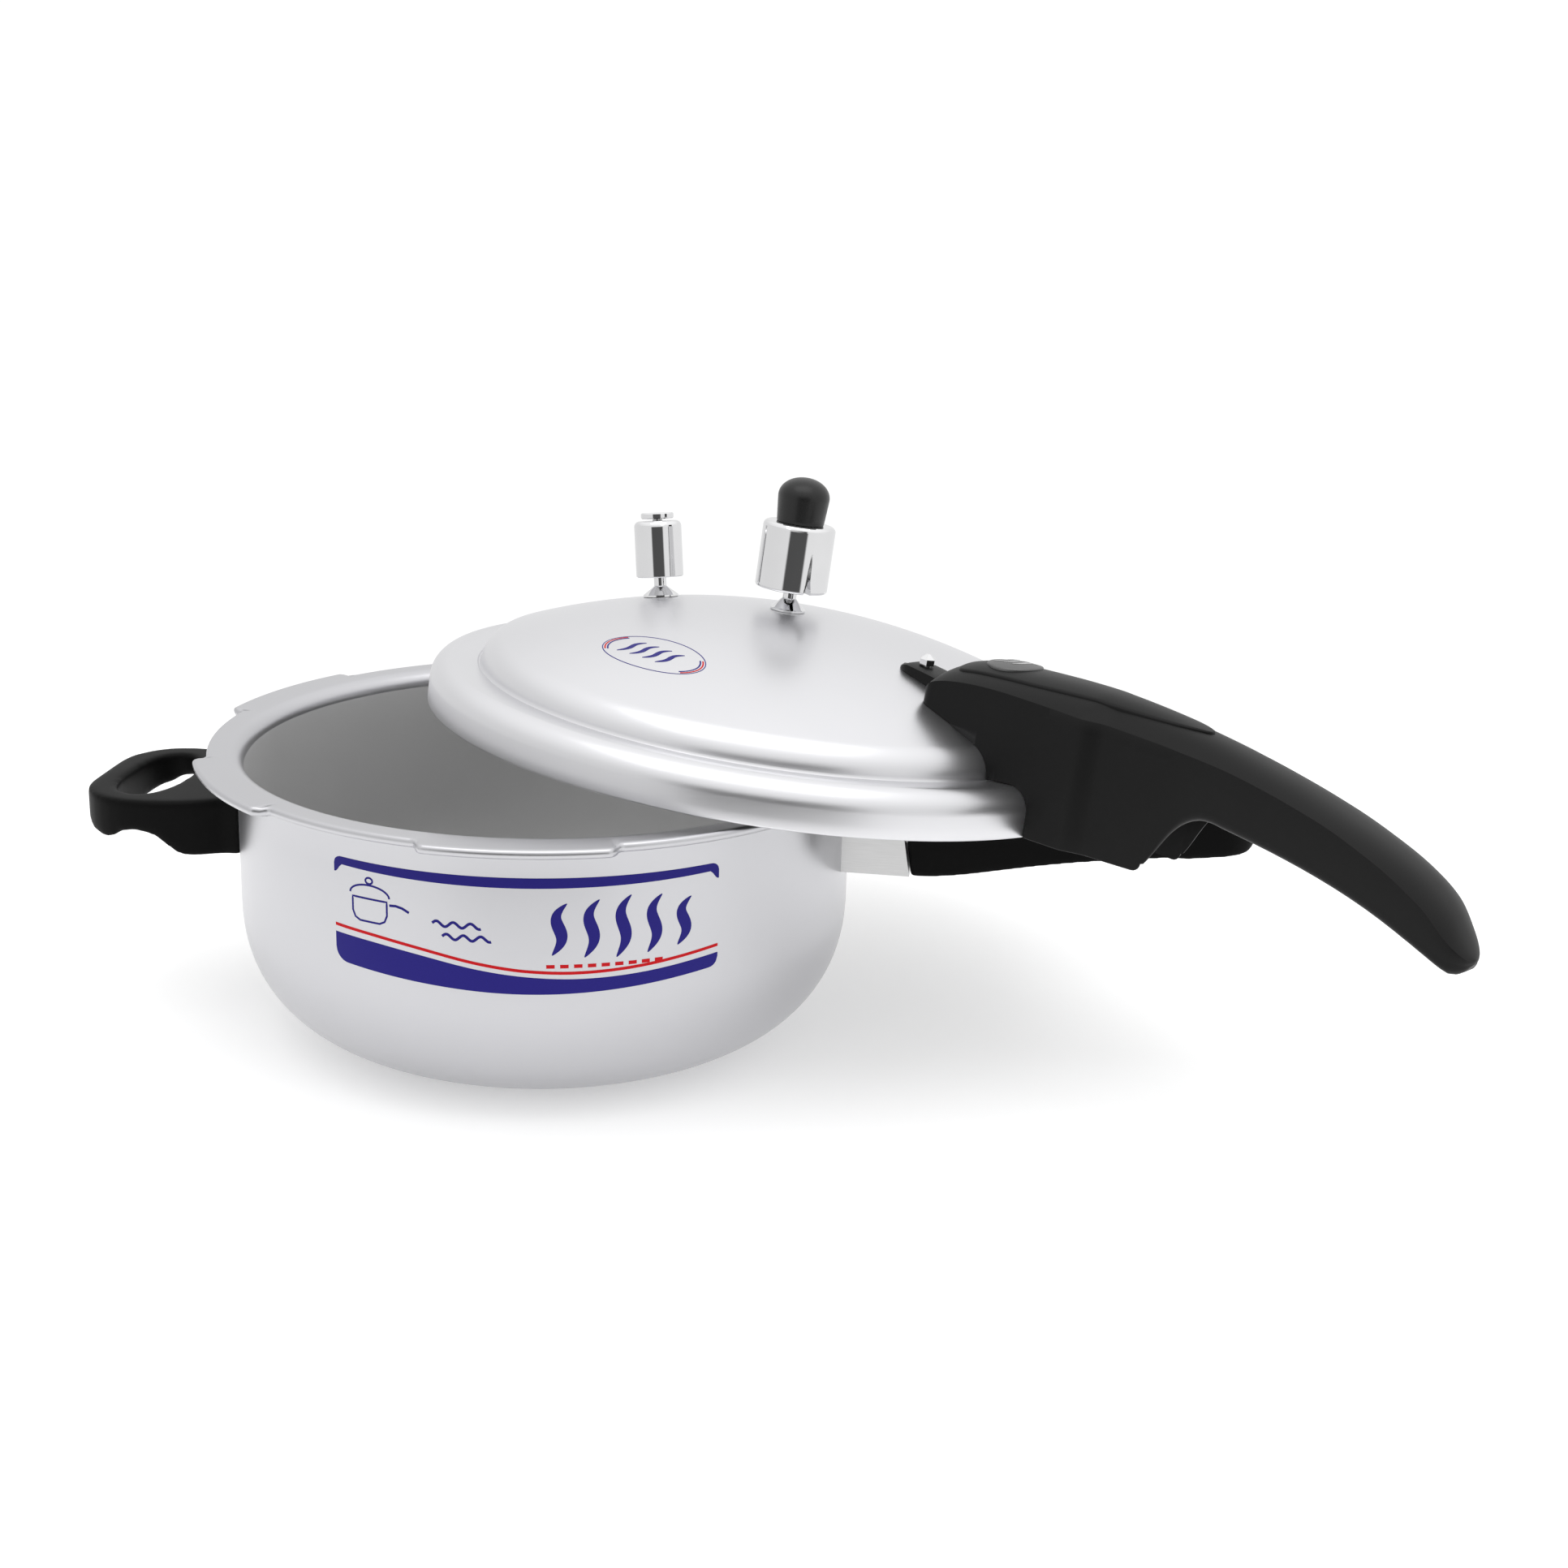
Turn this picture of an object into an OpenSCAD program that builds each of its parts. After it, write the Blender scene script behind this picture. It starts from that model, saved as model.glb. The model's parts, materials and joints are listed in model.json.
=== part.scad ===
// Stovetop pressure cooker with a bayonet lid, shown with its lid laid
// askew on the pan. Millimetres, +Z up, origin at the centre of the base.

/* [Pan] */
// Outer diameter of the pan wall
pan_d = 230; // [180:1:290]
// Height of the pan, base to the top of its rim
pan_h = 109.5; // [92:0.5:150]
// Thickness of the pan wall
pan_wall = 2.6; // [2:0.1:3.5]
// Thickness of the pan base
pan_base_t = 3.6; // [3:0.1:6]
// Radius across the rounded corner between base and wall
corner_w = 56; // [40:1:60]
// Height of the rounded corner between base and wall
corner_h = 53; // [40:1:60]
// Thickness of the rim flange
rim_t = 3.3; // [2.5:0.1:4.5]
// Width of the rim flange beyond the wall, between the lugs
rim_w = 10.6; // [8:0.1:14]
// How far each lug stands out past the flange
lug_w = 5.2; // [4:0.1:6]
// Number of bayonet lugs
lug_count = 6; // [4:1:6]
// Width of one lug, in degrees
lug_deg = 30; // [24:1:32]
// Direction of the first lug, in degrees
lug_start = 38.5; // [20:0.1:45]

/* [Lid] */
// Gap between the pan lugs and the lid skirt
skirt_gap = 0.6; // [0.4:0.1:1.5]
// Thickness of the lid sheet
lid_t = 2.6; // [2:0.1:3.2]
// Height of the straight part of the skirt
skirt_h = 8.7; // [7:0.1:12]
// Outer radius of the bend over the skirt
skirt_bend = 8.6; // [7:0.1:9]
// Width of the flat ring between skirt and dome
ring_w = 18.2; // [16:0.1:24]
// Outer radius of the bend at the foot of the dome
dome_bend = 11.6; // [8:0.1:14]
// Height of the dome's top over the skirt's edge
dome_h = 48.9; // [44:0.1:60]
// Width of one lid lug, in degrees
lid_lug_deg = 26; // [20:1:28]
// Sideways shift of the lid along the long handle
lid_x = 80.1; // [70:0.1:95]
// Sideways shift of the lid away from the front
lid_y = 40.8; // [30:0.1:50]
// Lean of the laid-down lid, in degrees
lid_tilt = 7.17; // [5:0.01:8]
// Direction in which the lid leans, in degrees
lid_lean = 27.1; // [20:0.1:35]
// Direction in which the lid handle points, in degrees
lid_yaw = -32; // [-40:0.5:-30]
// Gap between the laid-down lid and the rim
rest_gap = 0.4; // [0.3:0.1:1]

/* [Gasket] */
// Gap between the gasket and the lid
gasket_gap = 0.3; // [0.2:0.05:0.5]
// Width of the gasket
gasket_w = 13.4; // [10:0.1:14]
// Height of the gasket
gasket_h = 6.6; // [5:0.1:7]

/* [Long handle] */
// Length of the metal bracket between wall and grip
bracket_len = 23; // [16:0.5:32]
// Width of the bracket
bracket_w = 23; // [18:0.5:26]
// Height of the bracket
bracket_h = 18; // [14:0.5:20]
// Depth of the bracket's lower edge below the rim
bracket_drop = 40.5; // [36:0.5:44]
// Length of the grip
grip_len = 129; // [110:1:150]
// Width of the grip at its root
grip_w = 24; // [20:0.5:30]
// Width of the grip near its end
grip_end_w = 28; // [24:0.5:32]
// Height of the grip at its root
grip_root_h = 25; // [22:0.5:28]
// Rise of the grip's underside over its length
grip_rise = 17.5; // [12:0.5:20]

/* [Helper handle] */
// Reach of the helper handle from the wall
helper_len = 63; // [55:1:75]
// Widest part of the helper handle
helper_w = 73; // [66:1:80]
// Width of the helper handle at the wall
helper_root_w = 56; // [50:1:60]
// Height of the boss at the wall
helper_boss_h = 22; // [18:0.5:26]
// Height of the loop
helper_loop_h = 16; // [12:0.5:20]
// Depth of the helper handle's top below the rim
helper_drop = 23.5; // [18:0.5:28]
// Thickness of the loop's outer bar
helper_bar = 12; // [10:0.5:15]
// Width of the finger opening
helper_hole_w = 53; // [44:1:56]
// Length of the boss, wall to opening
helper_boss_len = 27; // [22:0.5:32]

/* [Lid handle] */
// Width of the block on the lid
block_w = 40.2; // [34:0.2:46]
// Width of the grip of the lid handle
lid_grip_w = 31; // [26:0.5:36]
// Distance from the lid's axis to the handle's tip
lid_handle_reach = 294; // [284:1:310]
// Height of the block's top over the skirt's edge
block_h = 55.2; // [53:0.1:60]
// Gap between the handle and the lid sheet
handle_gap = 0.1; // [0.05:0.05:0.3]
// Length of the cover plate let into the block's top
cover_len = 102; // [80:1:110]
// Width of the cover plate
cover_w = 30; // [24:0.5:32]
// Diameter of the round badge
badge_d = 20.5; // [16:0.5:24]

/* [Vent and weight] */
// Distance of the vent from the lid's axis
vent_r = 7; // [0:0.5:20]
// Direction of the vent from the lid handle, in degrees
vent_dir = 137; // [90:1:180]
// Outer diameter of the vent pipe's neck
vent_d = 5.4; // [4.6:0.1:7]
// Diameter of the steam bore
vent_bore_d = 2.4; // [1.5:0.1:3]
// Diameter of the vent's flared foot
vent_foot_d = 13.6; // [11:0.1:16]
// Diameter of the weight
weight_d = 28.2; // [24:0.2:32]
// Height of the weight
weight_h = 25.8; // [24:0.2:32]
// Height of the weight's lower edge over the dome
weight_lift = 8.5; // [7:0.1:9.5]
// Diameter of the weight's knob
knob_d = 20; // [16:0.2:22]
// Height of the knob over the weight
knob_h = 17.6; // [14:0.2:20]
// Height of the steam slots cut in the weight
steam_slot_h = 8; // [5:0.5:10]

/* [Safety valve] */
// Distance of the safety valve from the lid's axis
safety_r = 60.5; // [50:0.5:70]
// Direction of the safety valve from the lid handle, in degrees
safety_dir = 187; // [180:1:195]
// Diameter of the safety valve's case
safety_d = 18.8; // [16:0.2:22]
// Height of the safety valve's case
safety_h = 22.2; // [20:0.2:26]
// Height of the case's lower edge over the dome
safety_lift = 7.9; // [6.5:0.1:9]
// Diameter of the safety valve's top disc
safety_disc_d = 13; // [10:0.2:15]
// Travel of the safety plunger
safety_travel = 3; // [2:0.5:3.5]

/* [Hidden] */
$fn = 96;

// Colours
pan_colour = "Gainsboro";
chrome = "Silver";
steel = "DarkGray";
black = "DimGray";
rubber = "SlateGray";

// Pan radii
pan_r = pan_d / 2;
mouth_r = pan_r - pan_wall;
rim_r = pan_r + rim_w;
lug_r = rim_r + lug_w;
rim_fillet = 4;

// Lid radii
skirt_ir = lug_r + skirt_gap;
lid_r = skirt_ir + lid_t;
lid_lug_ir = rim_r + 1.2;
lid_lug_t = 2.6;
crease_r = lid_r - ring_w;
ring_z = skirt_h + skirt_bend * sin(80);
ring_drop = 0.8;
crease_z = ring_z - ring_drop;
dome_foot_r = crease_r - 0.5;
// The cap of the dome is a sphere tangent to the bend at its foot
bend_r0 = dome_foot_r - dome_bend;
cap_drop = dome_h - crease_z;
cap_r = (pow(bend_r0, 2) + pow(cap_drop, 2) - pow(dome_bend, 2)) / (2 * (cap_drop - dome_bend));
cap_z0 = dome_h - cap_r;
cap_deg = atan2(crease_z - cap_z0, bend_r0);

// Height of the dome's outer face at a distance from the lid's axis
function dome_z(r) = cap_z0 + sqrt(pow(cap_r, 2) - pow(r, 2));

// Points of an arc, and of a cubic curve
function arc(c, r, a0, a1, n = 8) =
    [for (i = [0 : n]) c + r * [cos(a0 + (a1 - a0) * i / n), sin(a0 + (a1 - a0) * i / n)]];
function curve(a, b, c, d, n = 14) = [
    for (i = [0 : n])
        let (t = i / n, u = 1 - t)
            u * u * u * a + 3 * u * u * t * b + 3 * u * t * t * c + t * t * t * d
];

// Height of the lid: its edge clears the rim where the two circles cross
lean_dir = [cos(lid_lean), sin(lid_lean)];
lid_at = [lid_x, lid_y];
function crossing_reach(r) =
    let (
        d = norm(lid_at),
        u = lid_at / d,
        along = (pow(lug_r, 2) - pow(r, 2) + d * d) / (2 * d),
        side = sqrt(pow(lug_r, 2) - along * along),
        across = [-u[1], u[0]]
    )
    max([for (s = [-1, 1]) (along * u + s * side * across - lid_at) * lean_dir]);
lid_reach = max(crossing_reach(lid_r), crossing_reach(lid_lug_ir));
lid_z = pan_h + rest_gap + tan(lid_tilt) * lid_reach;

// Height of the plane of the lid's edge over a point
function lid_plane_z(p) = lid_z - tan(lid_tilt) * ((p - lid_at) * lean_dir);

// Long handle
bracket_z = pan_h - bracket_drop;
bracket_sheet = 2;
grip_x = pan_r + bracket_len;
grip_end_x = grip_x + grip_len;
// The waist of the grip passes under the edge of the laid-down lid
waist_x = lid_x + sqrt(pow(lid_r, 2) - pow(lid_y - grip_w / 2, 2));
waist_gap = 0.6;
waist_z = lid_plane_z([waist_x, grip_w / 2]) - waist_gap;
tongue_len = 34;
tongue_w = 14;
tongue_t = 3;
tongue_z = bracket_z + 12;
handle_screw_x = grip_x + 20;
screw_r = 2.5;
screw_head_r = 4.6;
screw_head_t = 3;

// Helper handle
helper_top = pan_h - helper_drop;
helper_x = -pan_r - helper_len;
helper_screw_x = -pan_r - 13;
helper_tab_len = 20;
helper_tab_w = 26;
helper_tab_t = 3;
helper_tab_z = helper_top - 13;

// Lid handle, measured from the lid's axis along the handle
block_s = 80;
leg_s = 178;
arch_s = 203;
lid_tab_z = 4.2;
lid_tab_t = 3;
lid_tab_w = 20;
lid_tab_end = lid_r + 27;
lid_screw_s = lid_r + 17;
cover_s = block_s + 8;
cover_t = 2.4;
cover_gap = 0.15;
badge_s = 105;
badge_t = 2.2;
badge_z = block_h - 4;
nut_s = 67;
tongue_tip_s = 57;
tongue_half = 7;
tongue_top = dome_z(tongue_tip_s) + 2.2;
stud_r = 1.5;

// Vent and weight
vent_hole_r = 4.2;
under_gap = 0.15;
vent_neck_z = 4.6;
vent_pipe_h = 21;
weight_bore_r = 5.6;
weight_bore_h = 17.5;
needle_gap = 0.3;
clip_ir = vent_d / 2 + 0.35;
clip_or = weight_bore_r - 0.35;
slot_turn = -71;
slot_half = 1.8;
knob_base_h = 9.2;
knob_seat_r = 3;

// Safety valve
safety_neck_r = 2.5;
safety_foot_r = 7;
safety_bore_r = 6.4;
plunger_r = 1.9;
collar_r = 4.6;
spring_wire = 0.9;
disc_gap = 0.8;

// Moves its children to the laid-down lid, with +X along the lid handle
module on_lid() {
    translate([lid_x, lid_y, lid_z])
        rotate([0, 0, lid_lean])
            rotate([0, lid_tilt, 0])
                rotate([0, 0, lid_yaw - lid_lean])
                    children();
}

// Moves its children onto the dome, square to it, from the lid's own place
module on_dome(r, dir) {
    rotate([0, 0, dir])
        translate([0, 0, cap_z0])
            rotate([0, asin(r / cap_r), 0])
                translate([0, 0, cap_r])
                    children();
}

module on_vent() {
    on_lid()
        on_dome(vent_r, vent_dir)
            children();
}

module on_safety() {
    on_lid()
        on_dome(safety_r, safety_dir)
            children();
}

// Side outline in X and Z, given a width across Y
module side_extrude(w) {
    translate([0, w / 2, 0])
        rotate([90, 0, 0])
            linear_extrude(w)
                children();
}

// A sector of a disc from the axis outwards
module sector(r, deg, h) {
    linear_extrude(h)
        polygon(concat([[0, 0]], [for (i = [0 : 6]) r * [cos(deg * (i / 6 - 0.5)), sin(deg * (i / 6 - 0.5))]]));
}

// Outer outline of the pan, with its rounded lower corner
function pan_outer() = concat(
    [[0, 0]],
    [for (i = [0 : 14]) [
        pan_r - corner_w + corner_w * pow(sin(90 * i / 14), 0.88),
        corner_h - corner_h * pow(cos(90 * i / 14), 0.88)
    ]]
);

// Inner outline of the pan
function pan_inner() = concat(
    [[0, pan_base_t]],
    [for (i = [0 : 14]) [
        mouth_r - (corner_w - pan_wall) + (corner_w - pan_wall) * pow(sin(90 * i / 14), 0.88),
        corner_h - (corner_h - pan_base_t) * pow(cos(90 * i / 14), 0.88)
    ]]
);

// The flange at the pan's rim, out to a given radius
module rim_section(r) {
    polygon(concat(
        [[pan_r - pan_wall / 2, pan_h - rim_t - 1.5]],
        [[pan_r + 1.5, pan_h - rim_t]],
        arc([r - 1.1, pan_h - rim_t + 1.1], 1.1, -90, 0, 4),
        arc([r - 1.1, pan_h - 1.1], 1.1, 0, 90, 4),
        arc([mouth_r + rim_fillet, pan_h - rim_fillet], rim_fillet, 90, 180, 6)
    ));
}

module pan_body() {
    color(pan_colour) {
        rotate_extrude($fn = 144)
            polygon(concat(
                pan_outer(),
                [[pan_r, pan_h - rim_t - 1.5]],
                [[mouth_r, pan_h - rim_fillet]],
                [for (i = [14 : -1 : 0]) pan_inner()[i + 1]],
                [[0, pan_base_t]]
            ));
        rotate_extrude($fn = 144)
            rim_section(rim_r);
        intersection() {
            rotate_extrude($fn = 144)
                rim_section(lug_r);
            for (i = [0 : lug_count - 1])
                rotate([0, 0, lug_start + i * 360 / lug_count])
                    translate([0, 0, pan_h - rim_t - 2])
                        sector(lug_r * 1.1, lug_deg, rim_t + 4);
        }
    }
}

// Solid cylinder that trims brackets and handles to the pan wall
module wall_trim(gap = 0) {
    translate([0, 0, -1])
        cylinder(r = pan_r + gap, h = pan_h + 2, $fn = 144);
}

// Folded steel channel welded to the wall, with a tongue for the grip
module pan_bracket() {
    color(steel)
        difference() {
            union() {
                side_extrude(bracket_w)
                    polygon([
                        [pan_r - 4, bracket_z],
                        [grip_x + 2, bracket_z],
                        [grip_x - 1, bracket_z + bracket_h],
                        [pan_r - 4, bracket_z + bracket_h]
                    ]);
                translate([pan_r + 1, -tongue_w / 2, tongue_z])
                    cube([bracket_len + tongue_len - 1, tongue_w, tongue_t]);
            }
            side_extrude(bracket_w - 2 * bracket_sheet)
                polygon([
                    [pan_r - 6, bracket_z - 1],
                    [grip_x - bracket_sheet, bracket_z - 1],
                    [grip_x - bracket_sheet - 2, tongue_z],
                    [pan_r - 6, tongue_z]
                ]);
            translate([handle_screw_x, 0, bracket_z])
                cylinder(r = screw_r + 0.2, h = bracket_h * 2, $fn = 32);
            wall_trim();
        }
}

// Side outline of the long handle's grip
module pan_grip_side() {
    zb = bracket_z;
    rise = grip_rise / grip_len;
    waist_u = waist_x - grip_x;
    end_top = zb + grip_rise + 15.5;
    polygon(concat(
        curve([grip_x + 2.4, zb], [grip_x + 20, zb], [grip_x + 34, zb + 5], [grip_x + 60, zb + 9]),
        curve([grip_x + 60, zb + 9], [grip_x + 84, zb + 12.6], [grip_x + 104, zb + 14.6],
            [grip_end_x - 6, zb + grip_rise]),
        curve([grip_end_x - 6, zb + grip_rise], [grip_end_x + 0.5, zb + grip_rise + 1],
            [grip_end_x + 0.5, end_top - 3], [grip_end_x - 9, end_top]),
        curve([grip_end_x - 9, end_top], [grip_end_x - 24, end_top + 1],
            [waist_x + 14, waist_z + 3], [waist_x + 7, waist_z]),
        [[waist_x - 14, waist_z]],
        curve([waist_x - 20, waist_z + 0.4], [waist_x - 34, zb + grip_root_h - 0.5],
            [grip_x + 24, zb + grip_root_h], [grip_x - 0.6, zb + grip_root_h])
    ));
}

// Plan outline of the long handle's grip
module pan_grip_plan() {
    w = grip_w / 2;
    e = grip_end_w / 2;
    half = concat(
        [[grip_x - 4, w]],
        [[grip_x + 60, w - 0.8]],
        curve([grip_end_x - 37, w - 0.8], [grip_end_x - 30, w - 0.8], [grip_end_x - 31, e], [grip_end_x - 24, e], 6),
        arc([grip_end_x - 13, e - 12], 12, 90, 20, 7)
    );
    polygon(concat(half, [for (i = [len(half) - 1 : -1 : 0]) [half[i][0], -half[i][1]]]));
}

module pan_handle() {
    color(black)
        difference() {
            intersection() {
                side_extrude(grip_end_w + 4)
                    pan_grip_side();
                linear_extrude(pan_h * 2)
                    pan_grip_plan();
            }
            // seat of the bracket's end
            side_extrude(bracket_w + 0.2)
                polygon([
                    [grip_x - 6, bracket_z - 1],
                    [grip_x + 2.2, bracket_z - 1],
                    [grip_x - 0.9, bracket_z + bracket_h + 0.1],
                    [grip_x - 6, bracket_z + bracket_h + 0.1]
                ]);
            translate([grip_x - 5, -tongue_w / 2 - 0.1, tongue_z - 0.1])
                cube([tongue_len + 5.2, tongue_w + 0.2, tongue_t + 0.2]);
            translate([handle_screw_x, 0, bracket_z - 5])
                cylinder(r = screw_head_r + 0.3, h = 10, $fn = 32);
            translate([handle_screw_x, 0, bracket_z])
                cylinder(r = screw_r + 0.1, h = 21, $fn = 32);
        }
}

// Pan-head screw, head down at z = 0, with a cross recess
module screw(length) {
    difference() {
        union() {
            cylinder(r = screw_r, h = length + screw_head_t, $fn = 32);
            cylinder(r1 = screw_head_r - 0.8, r2 = screw_head_r, h = 0.8, $fn = 32);
            translate([0, 0, 0.8])
                cylinder(r = screw_head_r, h = screw_head_t - 0.8, $fn = 32);
        }
        for (a = [0, 90])
            rotate([0, 0, a])
                translate([-2.6, -0.5, -1])
                    cube([5.2, 1, 2.4]);
    }
}

module pan_handle_screw() {
    color(chrome)
        translate([handle_screw_x, 0, bracket_z + 2])
            screw(16);
}

module helper_bracket() {
    color(steel)
        difference() {
            union() {
                translate([-pan_r - helper_tab_len, -helper_tab_w / 2, helper_tab_z])
                    cube([helper_tab_len + 4, helper_tab_w, helper_tab_t]);
                translate([-pan_r - 2.2, -helper_tab_w / 2, helper_tab_z - 5])
                    cube([6, helper_tab_w, 14]);
            }
            translate([helper_screw_x, 0, 0])
                cylinder(r = screw_r + 0.2, h = pan_h, $fn = 32);
            wall_trim();
        }
}

// Plan outline of the helper handle
module helper_plan() {
    w = helper_w / 2;
    r = helper_root_w / 2;
    half = concat(
        [[-pan_r + 12, r - 1.5]],
        curve([-pan_r - 4, r], [-pan_r - 14, r + 5], [-pan_r - 22, w], [-pan_r - 36, w], 6),
        curve([-pan_r - 36, w], [-pan_r - 54, w], [helper_x, w - 14], [helper_x, 0], 10)
    );
    polygon(concat(half, [for (i = [len(half) - 2 : -1 : 0]) [half[i][0], -half[i][1]]]));
}

// Finger opening of the helper handle
module helper_opening() {
    x0 = helper_x + helper_bar;
    x1 = -pan_r - helper_boss_len;
    w = helper_hole_w / 2;
    half = concat(
        [[x1, 0]],
        curve([x1 - 0.5, 8], [x1 - 2, w - 6], [x1 - 7, w], [x1 - 12, w], 6),
        curve([x1 - 13, w], [x0 + 2, w - 2], [x0, 14], [x0, 0], 8)
    );
    polygon(concat(half, [for (i = [len(half) - 2 : -1 : 1]) [half[i][0], -half[i][1]]]));
}

// Side outline of the helper handle, with its finger hollow below
module helper_side() {
    top = helper_top;
    boss = top - helper_boss_h;
    loop = top - helper_loop_h;
    polygon(concat(
        [[-pan_r + 14, top], [-pan_r + 14, boss]],
        curve([-pan_r - 14, boss], [-pan_r - 24, boss], [-pan_r - 24, loop + 4], [-pan_r - 35, loop + 4], 7),
        curve([-pan_r - 36, loop + 4], [-pan_r - 44, loop + 4], [-pan_r - 42, loop], [-pan_r - 48, loop], 5),
        curve([-pan_r - 50, loop], [helper_x + 1, loop + 1], [helper_x, loop + 6], [helper_x, loop + 10], 6),
        arc([helper_x + 5, top - 5], 5, 180, 90, 5)
    ));
}

module helper_handle() {
    color(black)
        difference() {
            intersection() {
                side_extrude(helper_w + 4)
                    helper_side();
                linear_extrude(pan_h * 2)
                    helper_plan();
            }
            linear_extrude(pan_h * 2)
                helper_opening();
            wall_trim(0.15);
            translate([-pan_r - helper_tab_len - 0.15, -helper_tab_w / 2 - 0.15, helper_tab_z - 0.1])
                cube([helper_tab_len + 15, helper_tab_w + 0.3, helper_tab_t + 0.2]);
            translate([-pan_r - 2.35, -helper_tab_w / 2 - 0.15, helper_tab_z - 5.15])
                cube([15, helper_tab_w + 0.3, 14.3]);
            translate([helper_screw_x, 0, helper_top - helper_boss_h - 1])
                cylinder(r = screw_head_r + 0.3, h = 5.5, $fn = 32);
            translate([helper_screw_x, 0, helper_top - helper_boss_h])
                cylinder(r = screw_r + 0.1, h = helper_boss_h - 3, $fn = 32);
        }
}

module helper_screw() {
    color(chrome)
        translate([helper_screw_x, 0, helper_top - helper_boss_h + 1.5])
            screw(13);
}

// Outer outline of the lid from edge to axis, grown by a gap
function lid_outer(g = 0) = concat(
    [[lid_r + g, g > 0 ? -30 : 0]],
    arc([lid_r - skirt_bend, skirt_h], skirt_bend + g, 0, 80, 8),
    [[crease_r, crease_z + g]],
    [[dome_foot_r + g, crease_z + g]],
    arc([bend_r0, crease_z], dome_bend + g, 4, cap_deg, 8),
    [for (i = [1 : 12]) let (a = cap_deg + (90 - cap_deg) * i / 12)
        [(cap_r + g) * cos(a), cap_z0 + (cap_r + g) * sin(a)]]
);

// Inner outline of the lid from axis to edge
function lid_inner() = concat(
    [for (i = [12 : -1 : 1]) let (a = cap_deg + (90 - cap_deg) * i / 12)
        [(cap_r - lid_t) * cos(a), cap_z0 + (cap_r - lid_t) * sin(a)]],
    arc([bend_r0, crease_z], dome_bend - lid_t, cap_deg, 4, 8),
    [[dome_foot_r - lid_t, crease_z - lid_t]],
    arc([lid_r - skirt_bend, skirt_h], skirt_bend - lid_t, 80, 0, 6),
    [[skirt_ir, 0]]
);

// Fills the lid's outer form, to trim what sits on it
module lid_form(gap) {
    rotate_extrude($fn = 144)
        polygon(concat(lid_outer(gap), [[0, -30]]));
}

module lid_shell() {
    color(pan_colour)
        on_lid()
            difference() {
                union() {
                    rotate_extrude($fn = 144)
                        polygon(concat(lid_outer(), lid_inner()));
                    for (i = [0 : lug_count - 1])
                        rotate([0, 0, 30 + i * 360 / lug_count])
                            intersection() {
                                sector(skirt_ir + 1, lid_lug_deg, lid_lug_t);
                                difference() {
                                    cylinder(r = skirt_ir + 0.8, h = lid_lug_t, $fn = 144);
                                    translate([0, 0, -1])
                                        cylinder(r = lid_lug_ir, h = lid_lug_t + 2, $fn = 144);
                                }
                            }
                }
                on_dome(vent_r, vent_dir)
                    translate([0, 0, -10])
                        cylinder(r = vent_hole_r, h = 20, $fn = 48);
                on_dome(safety_r, safety_dir)
                    translate([0, 0, -10])
                        cylinder(r = vent_hole_r, h = 20, $fn = 48);
            }
}

module lid_gasket() {
    z0 = lid_lug_t + 3.6;
    r1 = skirt_ir - gasket_gap;
    r0 = r1 - gasket_w;
    top = z0 + gasket_h;
    color(rubber)
        on_lid()
            rotate_extrude($fn = 144)
                polygon([
                    [r0, z0 + 1.6],
                    [r0 + 1.2, z0],
                    [r0 + 6, z0 + 1.8],
                    [r1 - 5.4, z0],
                    [r1, z0],
                    [r1, skirt_h + 0.2],
                    [r1 - 1.6, top - 1.9],
                    [r1 - 4.6, top],
                    [r0 + 1, top],
                    [r0, top - 1.2]
                ]);
}

module lid_bracket() {
    color(steel)
        on_lid()
            difference() {
                union() {
                    translate([lid_r - 3, -lid_tab_w / 2, lid_tab_z])
                        cube([lid_tab_end - lid_r + 3, lid_tab_w, lid_tab_t]);
                    translate([lid_r - 3, -lid_tab_w / 2, 0.6])
                        cube([5, lid_tab_w, skirt_h - 1]);
                }
                translate([lid_screw_s, 0, 0])
                    cylinder(r = screw_r + 0.2, h = 20, $fn = 32);
                translate([0, 0, -1])
                    cylinder(r = lid_r, h = 30, $fn = 144);
            }
}

module lid_bracket_screw() {
    color(chrome)
        on_lid()
            translate([lid_screw_s, 0, lid_tab_z - screw_head_t - 0.05])
                screw(16);
}

// Side outline of the lid handle: block, leg, arch and drooping grip
module lid_handle_side() {
    tip = lid_handle_reach;
    polygon(concat(
        [[block_s, 0]],
        [[block_s, block_h - 10]],
        curve([block_s + 2, block_h - 7.6], [block_s + 15, block_h + 1.8],
            [block_s + 70, block_h + 2.1], [block_s + 107.6, block_h - 3.9], 12),
        curve([block_s + 107.6, block_h - 3.9], [block_s + 145, block_h - 9.9],
            [tip - 10, 32], [tip - 0.2, 5.4], 14),
        arc([tip - 5.6, 4.4], 5.4, 0, -75, 5),
        curve([tip - 8, 0.2], [tip - 32, 14], [tip - 62, 19.4], [arch_s, 23], 10),
        curve([arch_s, 23], [leg_s + 8, 27], [leg_s + 6, 12], [leg_s, 3.4], 9),
        arc([leg_s - 4, 3], 3, 0, -90, 4)
    ));
}

// Plan outline of the lid handle
module lid_handle_plan() {
    b = block_w / 2;
    g = lid_grip_w / 2;
    tip = lid_handle_reach;
    half = concat(
        [[block_s - 1, b - 4]],
        arc([block_s + 5, b - 4], 4, 140, 90, 3),
        [[block_s + 66, b]],
        curve([block_s + 70, b], [block_s + 76, b], [block_s + 76, g + 1], [block_s + 84, g + 1], 6),
        [[tip - 34, g]],
        curve([tip - 26, g], [tip - 10, g - 0.5], [tip, 9], [tip, 0], 8)
    );
    polygon(concat(half, [for (i = [len(half) - 2 : -1 : 0]) [half[i][0], -half[i][1]]]));
}

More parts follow.
